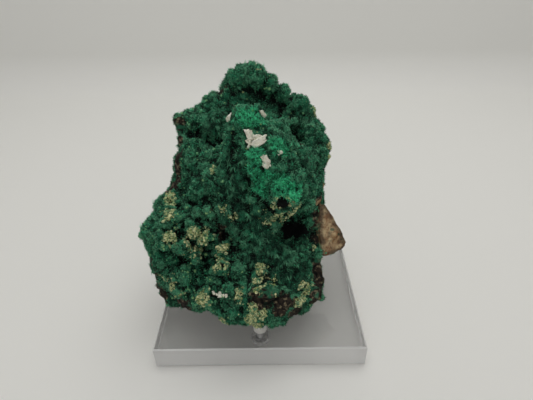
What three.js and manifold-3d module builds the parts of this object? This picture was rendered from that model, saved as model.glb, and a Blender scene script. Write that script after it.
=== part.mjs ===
// A malachite specimen on a clear acrylic display base.
//
// A lump of iron-stained matrix carries a thick velvety crust of malachite and
// six small clusters of white crystals. It stands on three white pegs, each held
// by a small screw that comes up through the clear square slab.
//
// Millimetres, +Z up. The origin is the centre of the slab's underside, +X is to
// the viewer's right and -Y faces the viewer.
import * as THREE from "three";
import { mergeVertices } from "three/addons/utils/BufferGeometryUtils.js";
import Module from "manifold-3d";

const wasm = await Module();
wasm.setup();

// ---------------------------------------------------------------- dimensions

const GAP = 0.3; // clearance between two pieces that touch
const ROUND_SIDES = 24; // sides of the turned pieces

const BASE_SIDE = 76.2; // 3 inch square
const BASE_THICK = 9.5; // 3/8 inch sheet
const BASE_CHAMFER = 0.5; // broken, polished edges

const PEG_DIAMETER = 5.1;
const PEG_TIP_RADIUS = 1; // rounding of the end that the stone rests on
const PEG_HEIGHT = 5; // above the slab
const PEG_BORE_DEPTH = 3;
const PEG_PLACES = {
  front: [0, -29.3],
  back_left: [-16, 10],
  back_right: [16, 10],
};

const SCREW_HEAD_DIAMETER = 3.6;
const SCREW_HEAD_HEIGHT = 2.3;
const SCREW_SHANK_DIAMETER = 2;
const SCREW_RECESS = 0.6; // from the slab's underside up to the head
const COUNTERBORE_DIAMETER = 6.6;
const SOCKET_DEPTH = 1.2;
const SOCKET_ACROSS = 1.7; // hexagon socket, corner to corner

// The stone is the smooth union of rounded lobes. Each lobe is an ellipsoid:
// its centre, then its three half-axes.
const LOBES = [
  { name: "core", at: [-3, 1, 47], size: [26, 22, 30] },
  { name: "base back", at: [-3, 8, 30], size: [25, 18, 17] },
  { name: "left shoulder", at: [-27, -8, 38], size: [17, 14, 14] },
  { name: "left hip", at: [-30, -3, 45], size: [10, 11, 11] },
  { name: "lower left", at: [-27, -15, 29], size: [14, 12, 12] },
  { name: "left toe", at: [-20, -21, 23], size: [12, 11, 8.5] },
  { name: "front foot", at: [-3, -21, 26], size: [20, 17, 13] },
  { name: "foot toe", at: [-2, -27, 22.5], size: [16, 11, 9] },
  { name: "right toe", at: [7, -23, 22], size: [11, 11, 9] },
  { name: "apron", at: [5, -14, 36], size: [18, 13, 14] },
  { name: "front bulge", at: [4, -5, 69], size: [13, 13, 14] },
  { name: "bulge crown", at: [-2, 0, 77], size: [9, 9, 9] },
  { name: "bulge lip", at: [9, -9, 61], size: [11, 11, 10] },
  { name: "upper back", at: [-3, 16, 70], size: [22, 13, 13] },
  { name: "left brow", at: [-21, 13, 74], size: [10, 9, 6] },
  { name: "left crown", at: [-13, 18, 78], size: [8, 8, 7] },
  { name: "left flank", at: [-20, 6, 59], size: [12, 12, 15] },
  { name: "right shoulder", at: [15, 10, 62], size: [13, 13, 15] },
  { name: "right brow", at: [13, 17, 75], size: [8.5, 8, 7] },
  { name: "crest left", at: [-7, 20, 86], size: [5.5, 6, 8] },
  { name: "crest right", at: [-1, 20, 85], size: [6, 6, 8.5] },
  { name: "crest foot", at: [5, 19, 79], size: [8, 8, 6] },
  { name: "right flank", at: [16, -2, 50], size: [9, 12, 12] },
  { name: "broken corner", at: [25, -8, 36], size: [7.5, 7, 8.5] },
  { name: "lower right", at: [17, -21, 22.5], size: [8, 8, 9] },
];
const LOBE_BLEND = 4; // how softly one lobe runs into the next

// Hollows pressed into the lobes, as ellipsoids too.
const HOLLOWS = [
  { name: "cave under the bulge", at: [15, -19, 47], size: [8, 7, 5] },
  { name: "cleft", at: [21, -19, 41], size: [2.5, 6, 7] },
  { name: "hooded alcove", at: [-16, 3, 76], size: [5, 7, 6] },
  { name: "right hole", at: [15, 1, 76], size: [4, 6, 4] },
  { name: "valley under the crest", at: [4, 9, 87], size: [8, 6, 6] },
];
const HOLLOW_BLEND = 3;

// Flat breaks in the matrix at the back and underneath: a point on each plane and
// the direction that it faces.
const BREAKS = [
  { name: "underside", at: [0, 0, BASE_THICK + PEG_HEIGHT + GAP], facing: [0, 0, -1] },
  { name: "back", at: [0, 26, 60], facing: [0.15, 1, 0.1] },
  { name: "back left", at: [-23, 17, 45], facing: [-0.6, 0.8, -0.1] },
  { name: "back right", at: [20, 17, 45], facing: [0.7, 0.7, -0.1] },
];

// The crust is lumpy all over: waves of this height and length.
const LUMP_HEIGHT = 0.9;
const LUMP_LENGTH = 11;

const STONE_LOW = [-50, -44, 8]; // a box well clear of the stone all round
const STONE_HIGH = [40, 44, 102];
const STONE_CELL = 2.9; // size of a facet

// White crystal clusters: a point close to the stone's skin, the way that the
// cluster points, and its blocks. A block is a tapered five-sided prism: the place
// of its foot on the skin (across, up), its foot and top widths, its height, and
// its lean in degrees (across, up).
const CRYSTALS = {
  spike: {
    seat: [-8.7, -3, 80],
    facing: [-0.3, -0.6, 1],
    blocks: [{ foot: [0, 0], widths: [1.8, 0.5], height: 3, lean: [0, 0] }],
  },
  top: {
    seat: [1.6, -6, 83],
    facing: [0.1, -0.5, 1],
    blocks: [
      { foot: [-0.4, 0.3], widths: [1.7, 1.2], height: 2, lean: [-15, 5] },
      { foot: [0.5, -0.4], widths: [1.6, 1], height: 1.7, lean: [18, -8] },
    ],
  },
  large: {
    seat: [-0.5, -14.5, 77.5],
    facing: [0, -1, 0.9],
    blocks: [
      { foot: [-1.5, 1.4], widths: [2.8, 2], height: 2.6, lean: [-18, 22] },
      { foot: [-1.5, -0.6], widths: [2.4, 1.5], height: 2, lean: [-22, -12] },
      { foot: [0.2, 0], widths: [3.2, 2.4], height: 2.8, lean: [0, 0] },
      { foot: [2, 0.5], widths: [3, 1.9], height: 2.5, lean: [22, 10] },
      { foot: [1, -1.4], widths: [2.6, 1.7], height: 2.1, lean: [8, -24] },
    ],
  },
  middle: {
    seat: [3, -16, 72.5],
    facing: [0, -1, 0.45],
    blocks: [
      { foot: [-0.3, 0.8], widths: [2.6, 1.8], height: 1.9, lean: [-10, 18] },
      { foot: [0.3, -0.8], widths: [2.5, 1.7], height: 1.8, lean: [12, -16] },
    ],
  },
  small: {
    seat: [7.5, -15, 75.5],
    facing: [0.3, -1, 0.6],
    blocks: [{ foot: [0, 0], widths: [1.5, 1], height: 1.2, lean: [10, 0] }],
  },
  low: {
    seat: [-12.3, -33, 32.8],
    facing: [-0.25, -1, 0.5],
    blocks: [
      { foot: [-1.6, 0.3], widths: [1.8, 1.2], height: 1.3, lean: [-18, 5] },
      { foot: [-0.5, -0.1], widths: [1.9, 1.2], height: 1.2, lean: [0, -10] },
      { foot: [0.6, 0], widths: [2, 1.3], height: 1.4, lean: [5, 10] },
      { foot: [1.6, -0.3], widths: [1.6, 1], height: 1.1, lean: [15, 0] },
    ],
  },
};
const CRYSTAL_SIDES = 5;
const CRYSTAL_SEARCH = 14; // the skin is looked for from this far outside the seat

const COLOURS = {
  malachite: 0x14503a,
  crystal: 0xd7cdbe,
  acrylic: 0xe8eef0,
  peg: 0xf2f2f0,
  steel: 0xbfc1c2,
};

// ------------------------------------------------------------------- helpers

function material(colour, roughness, metalness = 0) {
  return new THREE.MeshStandardMaterial({ color: colour, roughness, metalness });
}

function mesh(name, geometry, surface) {
  const piece = new THREE.Mesh(geometry, surface);
  piece.name = name;
  return piece;
}

// A closed three.js geometry as a solid that can be joined and cut.
function solid(geometry) {
  const bare = new THREE.BufferGeometry();
  bare.setAttribute("position", geometry.getAttribute("position"));
  bare.setIndex(geometry.index);
  const merged = mergeVertices(bare, 1e-4);
  return new wasm.Manifold(
    new wasm.Mesh({
      numProp: 3,
      vertProperties: merged.getAttribute("position").array,
      triVerts: new Uint32Array(merged.index.array),
    }),
  );
}

function geometryOf(body) {
  const shape = body.getMesh();
  const geometry = new THREE.BufferGeometry();
  geometry.setAttribute("position", new THREE.BufferAttribute(shape.vertProperties, 3));
  geometry.setIndex(new THREE.BufferAttribute(shape.triVerts, 1));
  geometry.computeVertexNormals();
  return geometry;
}

// A turned solid about +Z from (radius, height) points, listed from bottom to top.
function turned(profile, sides = ROUND_SIDES) {
  const points = profile.map(([radius, height]) => new THREE.Vector2(radius, height));
  return new THREE.LatheGeometry(points, sides).rotateX(Math.PI / 2);
}

// --------------------------------------------------------------------- stone

// Distance from a point to an ellipsoid, negative inside it.
function ellipsoidDistance(point, { at, size }) {
  const [x, y, z] = [point.x - at[0], point.y - at[1], point.z - at[2]];
  const inner = Math.hypot(x / size[0], y / size[1], z / size[2]);
  const slope = Math.hypot(x / size[0] ** 2, y / size[1] ** 2, z / size[2] ** 2);
  return slope < 1e-9 ? -Math.min(...size) : (inner * (inner - 1)) / slope;
}

// The smaller of two distances, rounded over where they are nearly equal.
function smoothMin(a, b, blend) {
  const overlap = Math.max(blend - Math.abs(a - b), 0) / blend;
  return Math.min(a, b) - (overlap * overlap * blend) / 4;
}

// Soft bumps and dips that follow no direction in particular.
function lumps(point) {
  const turn = (2 * Math.PI) / LUMP_LENGTH;
  const [x, y, z] = [point.x * turn, point.y * turn, point.z * turn];
  const coarse = Math.sin(0.8 * x + 1) * Math.sin(0.9 * y + 2) + Math.sin(z + 0.6 * x);
  const fine = Math.sin(1.3 * y - z) * Math.sin(1.4 * x + 0.7 * z);
  return LUMP_HEIGHT * (coarse / 2 + fine / 2);
}

// Distance to the stone's surface, negative inside the stone.
function stoneDistance(point) {
  let distance = Infinity;
  for (const lobe of LOBES) {
    distance = smoothMin(distance, ellipsoidDistance(point, lobe), LOBE_BLEND);
  }
  for (const hollow of HOLLOWS) {
    distance = -smoothMin(-distance, ellipsoidDistance(point, hollow), HOLLOW_BLEND);
  }
  distance -= lumps(point);
  for (const { at, facing } of BREAKS) {
    const normal = new THREE.Vector3(...facing).normalize();
    const offset = point.clone().sub(new THREE.Vector3(...at));
    distance = Math.max(distance, normal.dot(offset));
  }
  return distance;
}

// Where the solid would touch itself along a bare edge, the signs on one side of
// a cell are a chequer. One of its two outer corners is then counted as inside.
function fillPinches(samples, counts, indexOf, cell) {
  const barelyInside = -0.1 * cell;
  let found = true;
  while (found) {
    found = false;
    for (let k = 1; k < counts[2] - 1; k += 1) {
      for (let j = 1; j < counts[1] - 1; j += 1) {
        for (let i = 1; i < counts[0] - 1; i += 1) {
          const sides = [
            [indexOf(i, j, k), indexOf(i + 1, j, k), indexOf(i, j + 1, k), indexOf(i + 1, j + 1, k)],
            [indexOf(i, j, k), indexOf(i, j + 1, k), indexOf(i, j, k + 1), indexOf(i, j + 1, k + 1)],
            [indexOf(i, j, k), indexOf(i + 1, j, k), indexOf(i, j, k + 1), indexOf(i + 1, j, k + 1)],
          ];
          for (const [a, b, c, d] of sides) {
            const inside = [a, b, c, d].map((n) => samples[n] < 0);
            if (inside[0] === inside[3] && inside[1] === inside[2] && inside[0] !== inside[1]) {
              const outer = inside[0] ? [b, c] : [a, d];
              samples[samples[outer[0]] < samples[outer[1]] ? outer[0] : outer[1]] = barelyInside;
              found = true;
            }
          }
        }
      }
    }
  }
}

// Faces the surface where distance(point) is zero with quads, one corner in each
// cell of a grid that the surface passes through, each quad cut into two triangles.
function surfaceOf(distance, low, high, cell) {
  const counts = low.map((start, axis) => Math.ceil((high[axis] - start) / cell) + 1);
  const indexOf = (i, j, k) => (k * counts[1] + j) * counts[0] + i;
  const pointAt = (i, j, k) =>
    new THREE.Vector3(low[0] + i * cell, low[1] + j * cell, low[2] + k * cell);
  const samples = new Float64Array(counts[0] * counts[1] * counts[2]);
  for (let k = 0; k < counts[2]; k += 1) {
    for (let j = 0; j < counts[1]; j += 1) {
      for (let i = 0; i < counts[0]; i += 1) {
        samples[indexOf(i, j, k)] = distance(pointAt(i, j, k));
      }
    }
  }

  fillPinches(samples, counts, indexOf, cell);

  const positions = [];
  const cornerOf = new Map();
  const corners = [0, 1, 2, 3, 4, 5, 6, 7].map((n) => [n & 1, (n >> 1) & 1, n >> 2]);
  const edges = corners.flatMap((from) =>
    [0, 1, 2]
      .filter((axis) => from[axis] === 0)
      .map((axis) => [from, from.map((value, n) => (n === axis ? 1 : value))]),
  );

  // The mean of the places where the surface crosses the cell's edges.
  function cellCorner(i, j, k) {
    const mean = new THREE.Vector3();
    let crossings = 0;
    for (const [from, to] of edges) {
      const a = samples[indexOf(i + from[0], j + from[1], k + from[2])];
      const b = samples[indexOf(i + to[0], j + to[1], k + to[2])];
      if (a < 0 !== b < 0) {
        const start = pointAt(i + from[0], j + from[1], k + from[2]);
        const end = pointAt(i + to[0], j + to[1], k + to[2]);
        mean.add(start.lerp(end, a / (a - b)));
        crossings += 1;
      }
    }
    return mean.divideScalar(crossings);
  }

  function vertex(i, j, k) {
    const key = indexOf(i, j, k);
    if (!cornerOf.has(key)) {
      cornerOf.set(key, positions.length / 3);
      positions.push(...cellCorner(i, j, k));
    }
    return cornerOf.get(key);
  }

  const triangles = [];
  for (let k = 1; k < counts[2] - 1; k += 1) {
    for (let j = 1; j < counts[1] - 1; j += 1) {
      for (let i = 1; i < counts[0] - 1; i += 1) {
        const here = samples[indexOf(i, j, k)] < 0;
        for (let axis = 0; axis < 3; axis += 1) {
          const step = [0, 0, 0];
          step[axis] = 1;
          const there = samples[indexOf(i + step[0], j + step[1], k + step[2])] < 0;
          if (here === there) {
            continue;
          }
          const u = [0, 0, 0];
          const v = [0, 0, 0];
          u[(axis + 1) % 3] = 1;
          v[(axis + 2) % 3] = 1;
          const ring = [
            vertex(i - u[0] - v[0], j - u[1] - v[1], k - u[2] - v[2]),
            vertex(i - v[0], j - v[1], k - v[2]),
            vertex(i, j, k),
            vertex(i - u[0], j - u[1], k - u[2]),
          ];
          if (there) {
            ring.reverse();
          }
          triangles.push(ring[0], ring[1], ring[2], ring[0], ring[2], ring[3]);
        }
      }
    }
  }
  const geometry = new THREE.BufferGeometry();
  geometry.setAttribute("position", new THREE.Float32BufferAttribute(positions, 3));
  geometry.setIndex(triangles);
  geometry.computeVertexNormals();
  return geometry;
}

function stoneGeometry() {
  return surfaceOf(stoneDistance, STONE_LOW, STONE_HIGH, STONE_CELL);
}

// ---------------------------------------------------------------------- base

// The cutter for one stepped hole: wide for the screw's head, narrow for its shank.
function screwHole() {
  const shank = SCREW_SHANK_DIAMETER / 2 + GAP;
  const head = COUNTERBORE_DIAMETER / 2;
  const step = SCREW_RECESS + SCREW_HEAD_HEIGHT + GAP;
  return turned([
    [0, -1],
    [head, -1],
    [head, step],
    [shank, step],
    [shank, BASE_THICK + 1],
    [0, BASE_THICK + 1],
  ]);
}

function baseGeometry() {
  const corner = BASE_SIDE / 2 - BASE_CHAMFER;
  const outline = new THREE.Shape([
    new THREE.Vector2(-corner, -corner),
    new THREE.Vector2(corner, -corner),
    new THREE.Vector2(corner, corner),
    new THREE.Vector2(-corner, corner),
  ]);
  const slab = new THREE.ExtrudeGeometry(outline, {
    depth: BASE_THICK - 2 * BASE_CHAMFER,
    bevelSize: BASE_CHAMFER,
    bevelThickness: BASE_CHAMFER,
    bevelSegments: 1,
  }).translate(0, 0, BASE_CHAMFER);
  let body = solid(slab);
  for (const [x, y] of Object.values(PEG_PLACES)) {
    body = body.subtract(solid(screwHole().translate(x, y, 0)));
  }
  return geometryOf(body);
}

// -------------------------------------------------------------- peg and screw

// A white pin with a rounded end, bored from below for the screw.
function pegGeometry() {
  const radius = PEG_DIAMETER / 2;
  const bore = SCREW_SHANK_DIAMETER / 2 + GAP;
  const shoulder = PEG_HEIGHT - PEG_TIP_RADIUS;
  const profile = [
    [0, PEG_BORE_DEPTH],
    [bore, PEG_BORE_DEPTH],
    [bore, GAP],
    [radius, GAP],
    [radius, shoulder],
  ];
  const steps = 3;
  for (let step = 1; step <= steps; step += 1) {
    const angle = ((step / steps) * Math.PI) / 2;
    const inset = PEG_TIP_RADIUS * (1 - Math.cos(angle));
    profile.push([radius - inset, shoulder + PEG_TIP_RADIUS * Math.sin(angle)]);
  }
  profile.push([0, PEG_HEIGHT]);
  return turned(profile);
}

// A cap screw, head down, with a hexagon socket in the underside of its head.
function screwGeometry() {
  const head = SCREW_HEAD_DIAMETER / 2;
  const shank = SCREW_SHANK_DIAMETER / 2;
  const headTop = SCREW_RECESS + SCREW_HEAD_HEIGHT;
  const tip = BASE_THICK + PEG_BORE_DEPTH - GAP;
  const rim = 0.25; // chamfer round the head
  const body = turned([
    [0, SCREW_RECESS],
    [head - rim, SCREW_RECESS],
    [head, SCREW_RECESS + rim],
    [head, headTop],
    [shank, headTop],
    [shank, tip - rim],
    [shank - rim, tip],
    [0, tip],
  ]);
  const across = SOCKET_ACROSS / 2;
  const socket = turned(
    [
      [0, SCREW_RECESS - 1],
      [across, SCREW_RECESS - 1],
      [across, SCREW_RECESS + SOCKET_DEPTH],
      [0, SCREW_RECESS + SOCKET_DEPTH],
    ],
    6,
  );
  return geometryOf(solid(body).subtract(solid(socket)));
}

// ------------------------------------------------------------------- crystals

// A tapered prism standing on z = 0, with a slanting bevel round its top.
function crystalBlock({ foot, widths, height, lean }) {
  const [wide, narrow] = widths.map((width) => width / 2);
  const shoulder = height * 0.8;
  const prism = turned(
    [
      [0, 0],
      [wide, 0],
      [(wide + narrow) / 2, shoulder],
      [narrow / 2, height],
      [0, height],
    ],
    CRYSTAL_SIDES,
  );
  const [across, up] = lean.map(THREE.MathUtils.degToRad);
  return prism.rotateY(across).rotateX(-up).translate(foot[0], foot[1], 0);
}

// The blocks of one cluster joined, on their seat in the stone's skin.
function crystalGeometry({ seat, facing, blocks }, stone) {
  const outward = new THREE.Vector3(...facing).normalize();
  const across = new THREE.Vector3(0, 0, 1).cross(outward).normalize();
  const up = outward.clone().cross(across);
  const start = new THREE.Vector3(...seat).addScaledVector(outward, CRYSTAL_SEARCH);
  const inward = outward.clone().negate();
  let cluster = null;
  for (const block of blocks) {
    const body = solid(crystalBlock(block));
    cluster = cluster ? cluster.add(body) : body;
  }
  const geometry = geometryOf(cluster);
  const position = geometry.getAttribute("position");

  // Slide the cluster inwards until its nearest corner is one gap off the skin.
  let slide = Infinity;
  const corner = new THREE.Vector3();
  for (let i = 0; i < position.count; i += 1) {
    corner.fromBufferAttribute(position, i);
    const from = start
      .clone()
      .addScaledVector(across, corner.x)
      .addScaledVector(up, corner.y);
    const hits = new THREE.Raycaster(from, inward).intersectObject(stone);
    if (hits.length > 0) {
      slide = Math.min(slide, hits[0].distance + corner.z);
    }
  }
  const origin = start.addScaledVector(inward, slide - GAP);
  const frame = new THREE.Matrix4().makeBasis(across, up, outward).setPosition(origin);
  return geometry.applyMatrix4(frame);
}

// ------------------------------------------------------------------- assembly

const specimen = new THREE.Group();

specimen.add(mesh("acrylic_base", baseGeometry(), material(COLOURS.acrylic, 0.05)));

const stone = mesh("malachite_stone", stoneGeometry(), material(COLOURS.malachite, 0.95));
stone.material.side = THREE.DoubleSide;
specimen.add(stone);

for (const [place, [x, y]] of Object.entries(PEG_PLACES)) {
  const peg = mesh(`peg_${place}`, pegGeometry(), material(COLOURS.peg, 0.5));
  peg.position.set(x, y, BASE_THICK);
  specimen.add(peg);

  const screw = mesh(`screw_${place}`, screwGeometry(), material(COLOURS.steel, 0.35, 1));
  screw.position.set(x, y, 0);
  specimen.add(screw);
}

for (const [name, cluster] of Object.entries(CRYSTALS)) {
  const geometry = crystalGeometry(cluster, stone);
  specimen.add(mesh(`crystal_${name}`, geometry, material(COLOURS.crystal, 0.6)));
}

export default specimen;
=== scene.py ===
"""Malachite specimen on an acrylic base: the looks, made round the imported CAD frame.

Everything is in metres in the frame's own axes. Places on the stone are written in
millimetres, because that is the scale of its lobes and crystals.
"""

import math

import bmesh
import bpy
import numpy as np
from mathutils import Matrix, Vector


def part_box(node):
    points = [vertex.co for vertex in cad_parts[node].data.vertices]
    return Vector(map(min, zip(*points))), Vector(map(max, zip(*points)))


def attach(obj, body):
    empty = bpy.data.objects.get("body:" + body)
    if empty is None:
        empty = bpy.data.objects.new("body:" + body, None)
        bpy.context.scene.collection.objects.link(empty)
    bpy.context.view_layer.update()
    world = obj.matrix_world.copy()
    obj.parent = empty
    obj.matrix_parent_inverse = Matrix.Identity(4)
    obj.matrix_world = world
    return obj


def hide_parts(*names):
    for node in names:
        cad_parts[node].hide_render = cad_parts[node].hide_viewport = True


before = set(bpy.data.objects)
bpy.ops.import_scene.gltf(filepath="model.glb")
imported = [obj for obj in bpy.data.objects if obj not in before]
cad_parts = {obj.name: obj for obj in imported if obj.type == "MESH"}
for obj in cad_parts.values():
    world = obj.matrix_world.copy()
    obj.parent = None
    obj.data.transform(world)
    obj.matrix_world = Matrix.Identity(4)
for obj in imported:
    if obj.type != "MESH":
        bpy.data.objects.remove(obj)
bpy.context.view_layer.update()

MM = 0.001
STONE = "malachite_stone"
STONE_SLOT = "malachite_stone"
CAD_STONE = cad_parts[STONE]
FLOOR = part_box(STONE)[0].z / MM  # the stone's lowest point, in millimetres


# ------------------------------------------------------------------- helpers


def mesh_arrays(mesh):
    """The vertices in millimetres, their normals, and the triangles of a mesh."""
    count = len(mesh.vertices)
    points = np.empty(count * 3, np.float32)
    normals = np.empty(count * 3, np.float32)
    mesh.vertices.foreach_get("co", points)
    mesh.vertex_normals.foreach_get("vector", normals)
    return points.reshape(-1, 3) / MM, normals.reshape(-1, 3)


def set_points(mesh, points):
    """Moves a mesh's vertices to these places, in millimetres."""
    mesh.vertices.foreach_set("co", (points * MM).astype(np.float32).ravel())
    mesh.update()


def store(mesh, name, values):
    """Keeps one number for each vertex, for the materials to read."""
    layer = mesh.attributes.new(name, "FLOAT", "POINT")
    layer.data.foreach_set("value", values.astype(np.float32))


def shade_smooth(mesh):
    mesh.polygons.foreach_set("use_smooth", [True] * len(mesh.polygons))


def lengths_of(vectors):
    return np.sqrt((vectors**2).sum(1))


def unit(vectors):
    return vectors / np.maximum(np.linalg.norm(vectors, axis=1), 1e-9)[:, None]


def across_skin(vectors, up):
    """The part of each vector that lies along the skin."""
    return vectors - up * (vectors * up).sum(1)[:, None]


def smoothstep(low, high, value):
    share = np.clip((value - low) / (high - low), 0, 1)
    return share * share * (3 - 2 * share)


def lattice(cells, seed):
    """A fixed random number from -1 to 1 for each whole-numbered point."""
    cells = cells.astype(np.uint32)
    mixed = cells[:, 0] * np.uint32(374761393) + cells[:, 1] * np.uint32(668265263)
    mixed += cells[:, 2] * np.uint32(2246822519) + np.uint32(seed * 3266489917 % 2**32)
    mixed = (mixed ^ (mixed >> np.uint32(13))) * np.uint32(1274126177)
    mixed = (mixed ^ (mixed >> np.uint32(16))) * np.uint32(2654435761)
    return (mixed ^ (mixed >> np.uint32(15))) / 2.0**31 - 1


def noise(points, size, seed):
    """Smooth noise from -1 to 1 whose bumps are about this size across."""
    scaled = points / size + 1000.0
    corner = np.floor(scaled).astype(np.int64)
    share = scaled - corner
    share = share * share * (3 - 2 * share)
    total = np.zeros(len(points))
    for x in (0, 1):
        for y in (0, 1):
            for z in (0, 1):
                weight = np.abs(1 - x - share[:, 0])
                weight = weight * np.abs(1 - y - share[:, 1])
                weight = weight * np.abs(1 - z - share[:, 2])
                total += weight * lattice(corner + (x, y, z), seed)
    return total


def fractal(points, size, octaves, seed):
    """Noise with finer noise on top, each octave half the size and height."""
    total = np.zeros(len(points))
    for octave in range(octaves):
        total += noise(points, size / 2**octave, seed + octave) / 2**octave
    return total


# --------------------------------------------------------- stone: large forms

# Places on the stone are in millimetres. A lump is where its top would meet the
# stone, its radius, and how far it stands proud of the stone there.
LUMPS = {
    "emerald bulge": [
        ((-1.5, -7, 84), 5.5, -0.6),
        ((2, -7.5, 83.4), 4, -0.6),
        ((-1, -15, 74), 4.5, -0.2),
        ((3.6, -15.8, 73.8), 5, -0.4),
        ((7, -17.3, 69.5), 5.5, 0.4),
        ((10.8, -19, 65), 5.5, 1.0),
        ((13.9, -16.7, 66.6), 4.5, 0.2),
        ((1.7, -17.5, 66.5), 5, 0.2),
        ((-1.3, -16.9, 69.5), 4.5, 0.0),
    ],
    "ball garden": [
        ((-29.5, -15.9, 51.9), 3.4, 2.0),
        ((-25.2, -16.8, 50.8), 2.0, 1.4),
        ((-21.9, -19, 47.3), 2.6, 2.2),
        ((-18.5, -19.8, 46.2), 2.4, 2.0),
        ((-26.1, -21, 42.1), 2.8, 2.0),
        ((-13.9, -20.2, 40.9), 3.2, 2.6),
        ((-13, -25.4, 36.7), 3.2, 2.2),
        ((-18.5, -30.7, 29.1), 3.4, 1.8),
        ((-37.3, -16.6, 46), 4.5, 1.4),
        ((-31.3, -19.4, 44.2), 3.2, 2.2),
        ((-21.8, -22.5, 39.3), 2.4, 1.6),
        ((-25.3, -25.7, 33.5), 3.5, 1.6),
        ((-34.7, -21.9, 36.4), 3.0, 1.2),
        ((-29.1, -27.2, 28.2), 3.0, 1.2),
        ((-6.2, -27.5, 37.5), 3.2, 1.0),
        ((-20, -15, 52.5), 2.4, 1.4),
        ((-16.8, -16.9, 53.3), 1.8, 1.2),
    ],
    "toe": [
        ((-2.9, -38.3, 26), 3.2, 0.6),
        ((-8, -35, 27), 2.4, 0.8),
        ((3, -33.5, 33), 3.0, 0.8),
        ((14, -31, 26), 3.0, 1.0),
    ],
    "upper slopes": [
        ((-23.6, -2.5, 66.3), 4.0, 0.6),
        ((15.7, 12.4, 80.3), 4.0, 1.2),
        ((22.2, 10.5, 73.3), 4.0, 1.2),
        ((18, 4, 71), 3.5, 1.0),
    ],
}

# Balls that fill the stone out: the middle and the radius.
BLOBS = [
    ((-14.5, 7.2, 74.2), 5.6),  # mound in the alcove
    ((-16.5, 4.0, 67.5), 5.5),
    ((-7.0, 17.0, 88.4), 3.8),  # crest, from left to right
    ((-3.5, 16.5, 89.6), 4.0),
    ((0.5, 16.5, 88.8), 3.8),
    ((4.5, 15.5, 86.0), 3.5),
    ((9.0, 15.0, 82.8), 3.5),
    ((17.6, -12.6, 46.3), 1.8),  # knob in the cave
    ((-25.0, 6.0, 69.3), 4.0),  # down the left edge
    ((-25.2, 5.0, 65.4), 4.0),
    ((-25.2, 2.0, 61.5), 4.0),
    ((-34.0, -18.0, 19.2), 4.0),  # lower left corner
    ((-32.0, -20.0, 17.0), 4.0),
    ((-35.3, -16.0, 21.0), 4.0),
    ((-16.0, 10.0, 19.2), 6.0),  # feet that rest on the rear pegs
    ((16.0, 10.0, 19.2), 6.0),
]

# Chips with flat broken sides: the corners of the face, and where its back lies.
CHIPS = {
    "lower right flake": (
        [
            (21, -18, 37),
            (22.5, -20, 31),
            (24, -22, 26),
            (23.6, -25, 19),
            (17, -26, 18.5),
            (17, -24, 24),
            (19, -20, 33),
        ],
        (-3, 6, 0),
    ),
    "left knob": (
        [(-30.6, 9, 76.5), (-28.6, 9, 78), (-26, 8, 76.5), (-25.5, 7, 73), (-29, 8, 73.5)],
        (3, 4, -2),
    ),
}

# The tan fragment wedged in the right side: its face, where its back lies, its hole.
FRAGMENT_FACE = [
    (22.2, -8.0, 51.2),
    (24.6, -7.0, 49.6),
    (26.6, -7.5, 46.4),
    (27.8, -8.0, 44.0),
    (29.4, -8.5, 41.6),
    (30.6, -9.0, 39.6),
    (31.4, -10.0, 37.1),
    (32.6, -10.5, 35.1),
    (32.4, -11.0, 33.3),
    (30.8, -12.0, 32.5),
    (28.8, -13.0, 31.9),
    (26.4, -14.0, 31.8),
    (24.9, -14.5, 31.1),
    (23.1, -15.0, 31.8),
    (22.9, -14.5, 36.6),
    (22.4, -13.0, 40.6),
    (22.2, -11.0, 45.0),
    (22.6, -9.0, 48.0),
]
FRAGMENT_BACK = (-4, 8, 1)
FRAGMENT_HOLE = (27.9, -11.5, 36.5)

# A rise or a dip is a place, a radius and a height, negative for a dip.
RISES = {
    "smooth apron": ((7, -26, 40), 9, 0.6),
    "valley under the crest": ((5, 13, 82), 5, -2.0),
    "gap behind the bulge": ((-3, 8, 83), 4, -1.8),
    "right hole": ((14, 4, 73), 3.6, -4.0),
    "valley right of the bulge": ((10, 0, 78), 4, -2.5),
    "cave": ((12, -14.5, 45), 5, -4.5),
    "valley left of the curtain": ((-16.8, -14.8, 56.4), 3.2, -2.4),
    "curtain": ((-8, -14, 66), 4.5, 0.5),
    "behind the tan fragment": ((27, -9, 42), 6, -2.2),
    "lower curtain": ((-8, -18, 59), 4, -1.0),
    "pit left of the garden": ((-26.1, -17.1, 48.9), 1.8, -3.0),
    "pit under the left knoll": ((-30.1, -22, 41.1), 1.8, -3.0),
    "pit below the garden": ((-18.4, -21.2, 38.4), 2.4, -3.5),
    "pit in the garden": ((-15.5, -21, 42.5), 1.6, -2.5),
    "brown pit": ((-12.3, -18.1, 45.1), 2.6, -3.0),
    "upper garden pit": ((-23.4, -12.6, 54.2), 2.0, -2.0),
    "left upper pit": ((-28.4, -12, 54.1), 1.8, -2.0),
    "low left pit": ((-27.3, -23.5, 37.8), 2.0, -2.5),
    "right garden pit": ((-8.5, -22, 43), 2.0, -1.8),
    "pit above the toe": ((-18.9, -24.5, 34.1), 2.4, -2.0),
    "crown pit": ((-23.5, 5, 73), 2.6, -2.4),
    "left edge pit": ((-28, -2, 61), 2.5, -1.5),
}

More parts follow.
